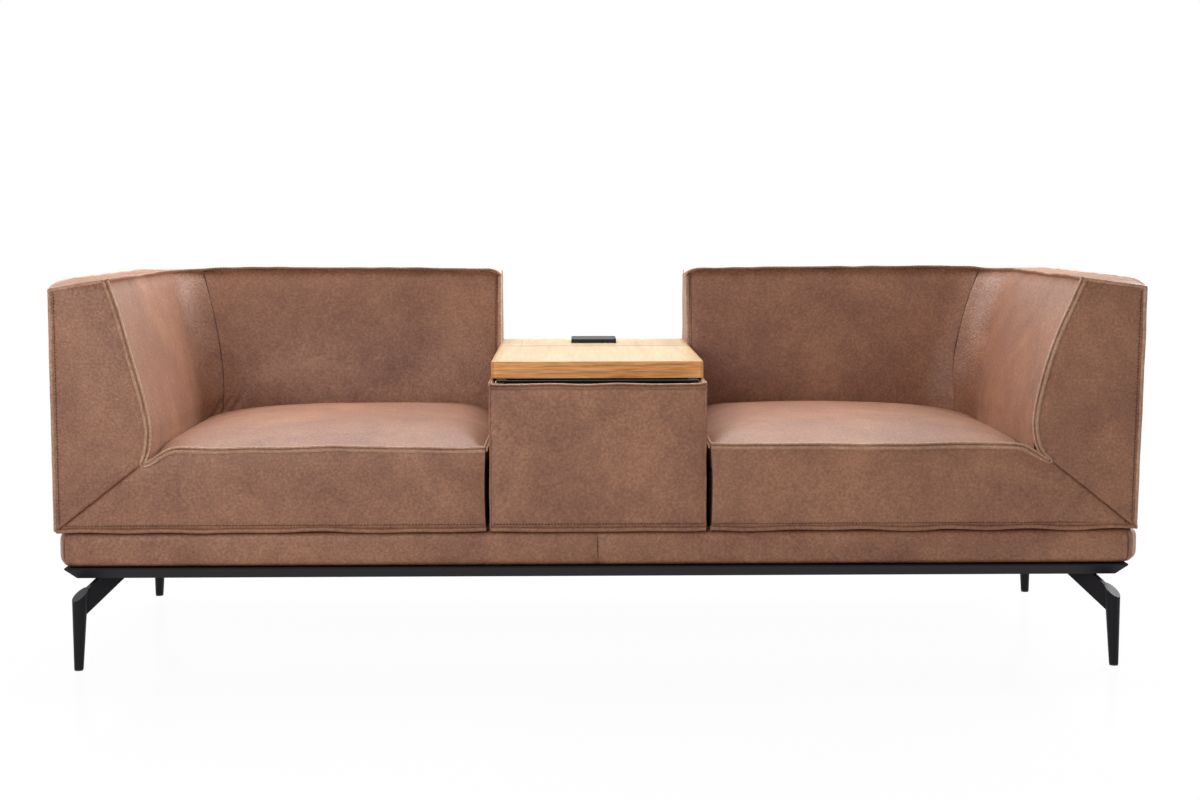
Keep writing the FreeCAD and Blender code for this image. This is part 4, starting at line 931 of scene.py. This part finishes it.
def seat_panels(side, seed):
    """The cover's top, sides and underside, slightly sunk before it is blown up."""
    columns = eased(84)
    rows = eased(80)
    top = np.zeros((len(rows), len(columns), 3))
    for row, depth in enumerate(FRONT + 0.001 + (SEAT_REAR - FRONT - 0.003) * rows):
        across = SEAT_INNER + (seat_outline(depth, side) - SEAT_INNER) * columns
        top[row, :, 0] = across
        top[row, :, 1] = depth
        top[row, :, 2] = seat_top(across, depth, side)
    inside = pulled(top[..., 1] - FRONT, 0.05) * pulled(top[..., 0] - SEAT_INNER, 0.05)
    top[..., 2] += (0.0012 * ripple(top, 0.16, seed) - SINK) * inside
    low = top.copy()
    low[..., 0] += (END_GAP[side] + 0.002) * pulled(1 - columns, 0.2)
    low[..., 2] = SEAT_LOW
    return closed_slab(mirrored(top, side), mirrored(low, side), UP)


def inflate(piece, side):
    """Blow the cover up between its seams as cloth, then keep the shape and soften it."""
    rest = np.array([tuple(point.co) for point in piece.data.vertices])
    across = rest[:, 0] * side
    seam = np.minimum(rest[:, 1] - FRONT, across - SEAT_INNER)
    held = (seam < 0.006) | (rest[:, 2] < HELD_BELOW) | (rest[:, 1] > SEAT_REAR - 0.02)
    held |= across > seat_outline(rest[:, 1], side) - 0.012
    group = piece.vertex_groups.new(name="sewn")
    group.add([int(k) for k in np.nonzero(held)[0]], 1.0, "REPLACE")
    cloth = piece.modifiers.new("cover", "CLOTH")
    cloth.settings.quality = 4
    cloth.settings.mass = 0.3
    cloth.settings.tension_stiffness = 12
    cloth.settings.compression_stiffness = 12
    cloth.settings.bending_stiffness = 1.5
    cloth.settings.vertex_group_mass = "sewn"
    cloth.settings.use_pressure = True
    cloth.settings.uniform_pressure_force = 4.0
    cloth.settings.effector_weights.gravity = 0.0
    for step in range(1, CLOTH_STEPS + 1):
        bpy.context.scene.frame_set(step)
    blown = piece.evaluated_get(bpy.context.evaluated_depsgraph_get())
    moved = np.array([tuple(point.co) for point in blown.data.vertices]) - rest
    length = np.linalg.norm(moved, axis=1, keepdims=True)
    moved *= np.minimum(1.0, CLOTH_CAP / np.maximum(length, 1e-9))
    piece.modifiers.remove(cloth)
    for point, place in zip(piece.data.vertices, rest + moved):
        point.co = place
    bpy.context.scene.frame_set(1)
    softened = piece.modifiers.new("softened", "SUBSURF")
    softened.levels = 1
    smooth = piece.evaluated_get(bpy.context.evaluated_depsgraph_get())
    piece.data = bpy.data.meshes.new_from_object(smooth)
    piece.modifiers.remove(softened)


for name, side in SIDES.items():
    seat = sewn(f"seat_{name}", seat_panels(side, 101 + int(side)), leather)
    inflate(seat, side)
    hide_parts(f"seat_cushion_{name}")


# Flanged welts
# Where two panels meet, both edges are turned out and sewn together, so each seam stands
# proud as two thin leather lips with a groove between them. Lower edges have a single lip.

# The turned edges are drawn paler: partly rubbed wear, partly painted highlight on the lips.
leather_edge = nubuck("nubuck_edge", ("#84604b", "#a57d65", "#c09a80"), gloss=0.44)
# The flat seams are drawn in a dark leather that paints the shade in their grooves.
leather_seam_shade = nubuck("nubuck_seam_shade", ("#3a241b", "#4a2f24", "#5b3c2f"))
WELT_STEP = 0.006
WAVE = 0.0015
LOW_WAVE = 0.0028
WAVE_LENGTH = 0.11
LIP_VARIES = 0.16
LIP_HILLS = 0.07
SEAM_LINE = [(-1.0, -0.8), (-0.8, 0.4), (0.0, 1.0), (0.8, 0.4), (1.0, -0.8)]
DOUBLE_LIP = [
    (-0.95, -0.8), (-1.05, 0.2), (-1.0, 0.7), (-0.7, 1.0), (-0.35, 0.92), (-0.1, 0.3),
    (0.1, 0.3), (0.35, 0.92), (0.7, 1.0), (1.0, 0.7), (1.05, 0.2), (0.95, -0.8),
]
SINGLE_LIP = [
    (-0.95, -0.8), (-0.95, 0.3), (-0.75, 0.8), (-0.35, 1.0), (0.0, 1.03), (0.35, 1.0),
    (0.75, 0.8), (0.95, 0.3), (0.95, -0.8),
]


def standing(points, up):
    """A path of places, each with the direction in which its welt or stitch stands."""
    points = np.asarray(points, dtype=float)
    return np.concatenate([points, np.broadcast_to(up, points.shape)], axis=1)


def walked(path, step):
    """A path divided into even steps."""
    lengths = run_lengths(path[:, :3])
    count = max(int(lengths[-1] / step), 2)
    places = np.linspace(0.0, lengths[-1], count + 1)
    return np.stack([np.interp(places, lengths, column) for column in path.T], axis=1)


def heading(line):
    """The unit direction of a line at each of its points."""
    tangent = np.gradient(line, axis=0)
    return tangent / np.linalg.norm(tangent, axis=1, keepdims=True)


def welt(name, path, profile, half_width, height, seed, material=leather_edge, wave=WAVE):
    """A lip along a path of places and standing directions. It waves and varies in height."""
    line = walked(path, WELT_STEP)
    for _ in range(3):
        line[1:-1] = 0.25 * line[:-2] + 0.5 * line[1:-1] + 0.25 * line[2:]
    place = line[:, :3]
    up = line[:, 3:]
    tangent = heading(place)
    up = up - np.sum(up * tangent, axis=1, keepdims=True) * tangent
    up /= np.linalg.norm(up, axis=1, keepdims=True)
    side = np.cross(tangent, up)
    wobble = 1 + LIP_VARIES * ripple(place, LIP_HILLS, seed)
    swing = wave * ripple(place, WAVE_LENGTH, seed + 1)
    rows = []
    for across, rise in profile:
        out = height * rise * (wobble if rise > 0 else np.ones(len(line)))
        rows.append(place + side * (half_width * across + swing)[:, None] + up * out[:, None])
    grid = np.array(rows)
    panels = [(grid, UP)]
    for end, way in ((0, -tangent[0]), (-1, tangent[-1])):
        section = grid[:, end]
        middle = np.tile(np.mean(section, axis=0), (len(section), 1))
        panels.append((np.stack([section, middle]), way))
    piece = sewn(name, panels, material)
    work = bmesh.new()
    work.from_mesh(piece.data)
    bmesh.ops.recalc_face_normals(work, faces=work.faces)
    work.to_mesh(piece.data)
    work.free()


def ways_in(run):
    """Level directions from a top edge into the seat."""
    flat = np.gradient(run[:, :2], axis=0)
    inward = np.stack([-flat[:, 1], flat[:, 0], np.zeros(len(flat))], axis=1)
    inward /= np.linalg.norm(inward, axis=1, keepdims=True)
    return -inward if inward[0, 0] > 0 else inward


# The main welt's turn at the mitre: where it leaves the arm, two places in the bend, and
# where it joins the seat's front.
TURN_TOP = 0.437
BEND_PLACES = [0.9315, 0.9275]
BEND_HEIGHTS = [0.4305, 0.4275]
TURN_END = 0.919
TURN_POINTS = 10
for name, side in SIDES.items():
    # The main welt comes down the arm's front edge, turns, and runs along the seat's front.
    heights = np.linspace(SHELL_TOP, TURN_TOP, 60)
    down = [(arm_edge(z, side), FRONT - 0.001, z) for z in heights]
    front = np.linspace(TURN_END, SEAT_INNER + 0.001, 120)
    places = np.concatenate([BEND_PLACES, front])
    rise = np.concatenate([BEND_HEIGHTS, front_edge(front, side)])
    along = [(x, FRONT - 0.001, z) for x, z in zip(places, rise)]
    outward = np.tile((-0.55, -1.0, 0.0), (len(down), 1))
    forward = np.tile((0.0, -1.0, 0.5), (len(along), 1))
    forward[:TURN_POINTS] = straight(outward[0], forward[0], TURN_POINTS)
    ways = np.concatenate([outward, forward])
    path = standing(mirrored([*down, *along], side), mirrored(ways, side))
    welt(f"welt_seat_arm_{name}", path, DOUBLE_LIP, 0.0067, 0.0072, 5)

    heights = np.linspace(0.48, SHELL_TOP - 0.006, 60)
    lift = np.clip((heights - SEAT_LEVEL) / (SHELL_TOP - SEAT_LEVEL), 0, 1) * crown_lift([2.0])
    run = np.array([[*inner_line(z, [2.0], side)[0], z] for z in heights])
    run[:, 2] += lift
    away = np.array([-math.cos(SEAM_TURN), -math.sin(SEAM_TURN), 0.25])
    run += away * SWELL * SEAM_SHARE
    path = standing(mirrored(run, side), mirrored(away, side))
    welt(f"seam_wrap_{name}", path, SEAM_LINE, 0.0009, 0.0006, 23, leather_seam_shade)

    level = front_edge(SEAT_INNER, side)
    x = SEAT_INNER + 0.001
    run = straight((x, FRONT + 0.002, level), (x, SEAT_REAR - 0.02, level))
    path = standing(mirrored(run, side), (-side * 0.5, 0, 1))
    welt(f"welt_seat_end_{name}", path, DOUBLE_LIP, 0.0050, 0.0048, 11)

    stations = np.concatenate([ARM_STATIONS, BACK_STATIONS[1:]])
    run = inner_top(stations, side)
    ways = ways_in(run) + np.array([0.0, 0.0, 0.75])
    path = standing(mirrored(run, side), mirrored(ways, side))
    welt(f"welt_top_inner_{name}", path, SINGLE_LIP, 0.0026, 0.0085, 7)

    # The other edges: the run on the right side, its standing direction, half width, height
    # and seed, and the leather and wave where they aren't the usual ones.
    outer = outer_top(stations)
    on_side = (HALF_WIDTH - outer[:, 0]) < (REAR - outer[:, 1])
    outer_ways = np.where(on_side[:, None], (1.0, 0.0, 0.8), (0.0, 1.0, 0.8))
    corner_x = HALF_WIDTH - CORNER_ROUND
    corner_y = REAR - CORNER_ROUND
    low = SHELL_BOTTOM + 0.001
    front_x = HALF_WIDTH - 0.003
    end_heights = np.linspace(SHELL_BOTTOM, SHELL_TOP - END_DROP, 50)
    end_front = [(BACK_END, REAR - wall_at(z), z) for z in end_heights]
    # The welt over the back's end stops just before the rear one.
    end_top = straight(
        (BACK_END, REAR - WALL_TOP, SHELL_TOP - END_DROP),
        (BACK_END, REAR, OUTER_TOP - END_DROP),
        26,
    )[:-1]
    edges = {
        "top_outer": (outer, outer_ways, 0.003, 0.003, 9),
        "arm_outer": (
            straight((HALF_WIDTH, FRONT, SHELL_BOTTOM), (HALF_WIDTH, FRONT, ARM_TOP)),
            (0.8, -0.7, 0), 0.0036, 0.0034, 13,
        ),
        "arm_top": (
            straight((HALF_WIDTH, FRONT, ARM_TOP), (arm_edge(SHELL_TOP, side), FRONT, SHELL_TOP)),
            (0, -0.8, 1), 0.0034, 0.0034, 17,
        ),
        "rear_corner": (
            straight((corner_x, corner_y, SHELL_BOTTOM), (corner_x, corner_y, OUTER_TOP)),
            (1, 1, 0), 0.003, 0.003, 19,
        ),
        "low_front": (
            straight((front_x, FRONT, low), (SEAT_INNER, FRONT, low)),
            (0, -1.0, -0.2), 0.0048, 0.0066, 29, leather, LOW_WAVE,
        ),
        "low_side": (
            straight((HALF_WIDTH, FRONT + 0.002, low), (HALF_WIDTH, corner_y, low)),
            (1, 0, -0.2), 0.0048, 0.0034, 31,
        ),
        "low_rear": (
            straight((corner_x, REAR, low), (BACK_END, REAR, low)),
            (0, 1.0, -0.2), 0.0048, 0.0034, 37,
        ),
        "back_end": (end_front, (-1, -0.7, 0), 0.0036, 0.0042, 43),
        "back_rear": (
            straight((BACK_END, REAR, SHELL_BOTTOM), (BACK_END, REAR, OUTER_TOP - END_DROP)),
            (-1, 0.8, 0), 0.0032, 0.003, 47,
        ),
        "back_top": (end_top, (-1, 0, 1), 0.0034, 0.0036, 53),
    }
    for part, (run, up, half_width, height, seed, *rest) in edges.items():
        path = standing(mirrored(run, side), mirrored(up, side))
        welt(f"welt_{part}_{name}", path, SINGLE_LIP, half_width, height, seed, *rest)

heights, depths = band_section()
for name, x, turn in (("left", -BOARD_SIDE, 5), ("middle", 0.0, 6), ("right", BOARD_SIDE, 7)):
    way = np.array([math.cos(turn * EIGHTH), math.sin(turn * EIGHTH), 0.0])
    fuller = 1 + END_SWELL.get(name, 0.0) * abs(way[0]) ** 3 / BAND_DEPTH
    run = np.array([(x, BOARD_FRONT, height) for height in heights])
    run += way * (depths * SEAM_SHARE * fuller)[:, None]
    welt(f"seam_plinth_{name}", standing(run, way), SEAM_LINE, 0.0013, 0.0016, 83, leather_seam_shade)


# Console
# Padded leather panels close the console at the front, the sides and the rear, up to a rim
# of raised welts. The black storage box hangs inside them by its rim.
CONSOLE_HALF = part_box("console_front_panel")[1][0]
CONSOLE_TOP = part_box("console_front_panel")[1][2]
CONSOLE_FRONT_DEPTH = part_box("console_front_panel")[1][1]
CONSOLE_REAR_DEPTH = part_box("console_rear_panel")[0][1]
SIDE_PAD = 0.010
RIM = 0.001
CONSOLE_SWELL = 0.004
SIDE_SWELL = 0.002


def padded_panel(name, corner, along, up, outward, thickness, seed, columns, swell):
    """A flat leather pad that swells between its seams, closed at its back."""
    base = flat_grid(corner, along, up, 34, columns)
    across = eased(columns) * np.linalg.norm(along)
    height = eased(34) * np.linalg.norm(up)
    from_ends = np.minimum(across, across[-1] - across)[None, :]
    from_rims = np.minimum(height, height[-1] - height)[:, None]
    rise = swell * pulled(from_ends, 0.01) * pulled(from_rims, 0.012)
    rise = rise + uneven(base, 0.0009, 0.12, seed, np.minimum(from_ends, from_rims), 0.03)
    outward = np.asarray(outward, dtype=float)
    face = base + outward * rise[..., None]
    piece = sewn(name, closed_slab(face, base - outward * thickness, outward), leather)
    return piece


low = SHELL_BOTTOM + 0.002
rise = (0, 0, CONSOLE_TOP - low)
width = (2 * (CONSOLE_HALF - RIM), 0, 0)
front_pad = padded_panel(
    "console_leather_front", (-CONSOLE_HALF + RIM, FRONT + RIM, low), width, rise, (0, -1, 0),
    CONSOLE_FRONT_DEPTH - FRONT - 2 * RIM, 111, 48, CONSOLE_SWELL,
)
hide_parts("console_front_panel")
rear_pad = padded_panel(
    "console_leather_rear", (-CONSOLE_HALF + RIM, REAR - RIM, low), width, rise, (0, 1, 0),
    REAR - CONSOLE_REAR_DEPTH - 2 * RIM, 113, 48, CONSOLE_SWELL,
)
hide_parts("console_rear_panel")
for name, side in SIDES.items():
    side_pad = padded_panel(
        f"console_leather_{name}", (side * (CONSOLE_HALF - RIM), FRONT + 2 * RIM, low),
        (0, REAR - FRONT - 4 * RIM, 0), rise, (side, 0, 0),
        SIDE_PAD - 2 * RIM, 115 + int(side), 60, SIDE_SWELL,
    )
    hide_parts(f"console_side_panel_{name}")
    x = side * (CONSOLE_HALF - 0.002)
    path = standing(straight((x, FRONT, CONSOLE_TOP), (x, REAR, CONSOLE_TOP)), (side * 0.3, 0, 1))
    welt(f"welt_console_rim_{name}", path, DOUBLE_LIP, 0.004, 0.006, 59)
    x = side * (CONSOLE_HALF - 0.001)
    post = straight((x, FRONT + 0.001, low), (x, FRONT + 0.001, CONSOLE_TOP))
    path = standing(post, (side * 0.7, -1, 0))
    welt(f"welt_console_edge_{name}", path, SINGLE_LIP, 0.0024, 0.0026, 61, leather)

# The top welt turns up like a small ear at both of its ends.
across = np.linspace(-CONSOLE_HALF + 0.001, CONSOLE_HALF - 0.001, 80)
ears = 0.003 * np.exp(-(CONSOLE_HALF - np.abs(across)) / 0.01)
run = np.stack([across, np.full_like(across, FRONT + 0.001), CONSOLE_TOP - 0.003 + ears], axis=1)
path = standing(run, (0, -1, 0.3))
welt("welt_console_top", path, DOUBLE_LIP, 0.0058, 0.0062, 67, leather, 0.0022)
low = SHELL_BOTTOM + 0.001
path = standing(straight((-CONSOLE_HALF, FRONT, low), (CONSOLE_HALF, FRONT, low)), (0, -1, -0.2))
welt("welt_console_low", path, SINGLE_LIP, 0.0048, 0.0066, 71, leather, LOW_WAVE)

# Black melamine laminate, pressed matt, so that the inside of the box stays dark.
laminate = clouded("laminate_black", "#060607", "#0c0c0d", 0.0, 0.85, 0.003, specular=0.15)
paint(laminate, "storage_box")


# Topstitching
# Dark brown polyester thread runs beside each flange, sunk slightly into the leather. Its
# twist gives it a dull, broken colour. Stitches are drawn half as long again, and thread and
# twist twice as thick, as real ones, so that they show.
STITCH_PITCH = 0.0065
STITCH_LENGTH = 0.0044
STITCH_HALF = 0.0011
STITCH_LIFT = 0.0004
SEW_OFFSET = 0.009
SEW_DEPTH = 0.0035
SEW_UNDER = 0.0052
SEW_RISE = 0.0006
thread = clouded("polyester_thread", "#321f17", "#432c22", 0.0, 0.6, 0.0012)

# A stitch has four rings of four points: their places along it, and their half sizes.
STITCH_RINGS = ((-0.5, 0.45), (-0.3, 0.9), (0.3, 0.9), (0.5, 0.45))
STITCH_SECTION = ((-1.0, -0.6), (-0.6, 0.7), (0.6, 0.7), (1.0, -0.6))


def stitches(name, path):
    """Small rounded stitches along a path of places and outward directions."""
    line = walked(path, STITCH_PITCH)
    place = line[:, :3]
    up = line[:, 3:] / np.linalg.norm(line[:, 3:], axis=1, keepdims=True)
    tangent = heading(place)
    side = np.cross(tangent, up)
    points = []
    for along, half in STITCH_RINGS:
        for across, rise in STITCH_SECTION:
            offset = tangent * along * STITCH_LENGTH + side * across * half * STITCH_HALF
            points.append(place + offset + up * (rise * half * STITCH_HALF + STITCH_LIFT))
    points = np.stack(points, axis=1)
    faces = []
    for start in range(0, len(place) * 16, 16):
        for ring in range(3):
            for strip in range(3):
                first = start + ring * 4 + strip
                faces.append((first, first + 1, first + 5, first + 4))
        faces.append((start, start + 3, start + 2, start + 1))
        faces.append((start + 12, start + 13, start + 14, start + 15))
    mesh = bpy.data.meshes.new(name)
    mesh.from_pydata([tuple(point) for point in leaned(points.reshape(-1, 3))], [], faces)
    for face in mesh.polygons:
        face.use_smooth = True
    fixed(name, mesh, thread)


sewn_low = SHELL_BOTTOM + SEW_OFFSET + 0.002
for name, side in SIDES.items():
    x = side * (HALF_WIDTH - SEW_OFFSET)
    y = FRONT - SEW_DEPTH
    column = straight((x, y, SHELL_BOTTOM + 0.012), (x, y, OUTER_TOP - 0.024))
    stitches(f"stitch_arm_outer_{name}", standing(column, (0, -1, 0)))
    row = straight((MITRE_OUTER - 0.02, y, sewn_low), (SEAT_INNER + 0.006, y, sewn_low))
    stitches(f"stitch_low_front_{name}", standing(mirrored(row, side), (0, -1, 0)))
    run = inner_top(BACK_STATIONS[1:-4], side)
    inward = ways_in(run)
    run = run + inward * SEW_UNDER + np.array([0.0, 0.0, SEW_RISE])
    under = inward * 0.6 - np.array([0.0, 0.0, 0.8])
    stitches(f"stitch_top_inner_{name}", standing(mirrored(run, side), mirrored(under, side)))
    x = side * (BACK_END + SEW_OFFSET)
    end = [(x, REAR - wall_at(z) - 0.003, z) for z in np.linspace(0.5, SHELL_TOP - SEW_OFFSET, 40)]
    stitches(f"stitch_back_end_{name}", standing(end, (0, -1, 0.2)))
half = CONSOLE_HALF - 0.008
row = straight((-half, FRONT - 0.0025, sewn_low), (half, FRONT - 0.0025, sewn_low))
stitches("stitch_console_low", standing(row, (0, -1, 0)))


# Oak top
# The lid and the rear board are veneered board with solid oak lippings, oiled. The veneer's
# grain runs from front to rear and the lipping's along the edge.
GRAIN = 0.0034
FIGURE = 0.03
LID_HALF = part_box("console_lid")[1][0]
LIPPING = 0.0064
LIPPING_BLEND = 0.0006


def oiled_oak():
    """Oiled oak: warm, satin, with fine dark pores and a broad figure. The pores' lines are
    drawn 3 mm apart, about three times as far as real ones."""
    material, tree, shader, place = finish_of("oiled_oak", {"Roughness": 0.38, "IOR": 1.5})
    normal = tree.nodes["Texture Coordinate"].outputs["Normal"]
    facing = add(tree, "SeparateXYZ", {"Vector": normal}).outputs
    level = add(tree, "Math", {0: facing["Z"]}, operation="ABSOLUTE")
    upward = add(tree, "Math", {0: level, 1: 0.7}, operation="GREATER_THAN")
    # The rear lipping takes the paler veneer tones: painted light, as light falls straight on it.
    rearmost = add(tree, "Math", {0: level, 1: facing["Y"]}, operation="MAXIMUM")
    pale = add(tree, "Math", {0: rearmost, 1: 0.7}, operation="GREATER_THAN")
    down_board = add(tree, "Mapping", {"Vector": place, "Scale": (1.0, 0.04, 1.0)})
    down_edge = add(tree, "Mapping", {"Vector": place, "Scale": (0.045, 0.045, 1.0)})
    ways = {"Factor": upward, 4: down_edge, 5: down_board}
    run = add(tree, "Mix", ways, data_type="VECTOR").outputs[1]
    lines = {"Vector": run, "Scale": 1 / GRAIN, "Detail": 6.0, "Roughness": 0.62}
    fine = add(tree, "TexNoise", lines)
    broad = {"Vector": run, "Scale": 1 / FIGURE, "Detail": 3.0, "Distortion": 1.2}
    figure = add(tree, "TexNoise", broad)
    both = add(tree, "Mix", {"Factor": 0.45, "A": fine, "B": figure})
    tones = [(0.4, "#b87233"), (0.5, "#eda057"), (0.6, "#fbc080")]
    lipping = add(tree, "ValToRGB", {"Fac": both}, stops=tones)
    tones = [(0.36, "#a88a62"), (0.5, "#b69a70"), (0.64, "#c2a880")]
    veneer = add(tree, "ValToRGB", {"Fac": both}, stops=tones)
    wood = add(tree, "Mix", {"Factor": pale, 6: lipping, 7: veneer}, data_type="RGBA").outputs[2]

    # The lippings at the board's ends show as two thin darker lines on its top.
    across = add(tree, "SeparateXYZ", {"Vector": place}).outputs["X"]
    aside = add(tree, "Math", {0: across}, operation="ABSOLUTE")
    line = {"From Min": LID_HALF - LIPPING, "From Max": LID_HALF - LIPPING + LIPPING_BLEND}
    near_end = add(tree, "MapRange", {"Value": aside, **line, "To Max": 0.45})
    stain = {"Factor": near_end, 6: wood, 7: srgb("#9c6230")}
    lipped = add(tree, "Mix", stain, data_type="RGBA").outputs[2]
    tree.links.new(lipped, shader.inputs["Base Color"])
    pores = {"Height": fine, "Strength": 0.12, "Distance": 0.0004}
    add(tree, "Bump", pores, to=shader.inputs["Normal"])
    return material


paint(oiled_oak(), "console_lid", "console_rear_board")


# Charging unit
# A low housing in the rear board with a hinged flap over its sockets, moulded in black
# polycarbonate. The mould's fine texture gives it an even satin surface.
polycarbonate = clouded("polycarbonate_black", "#100e0e", "#181515", 0.0, 0.5, 0.0015, specular=0.3)
paint(polycarbonate, "charging_")
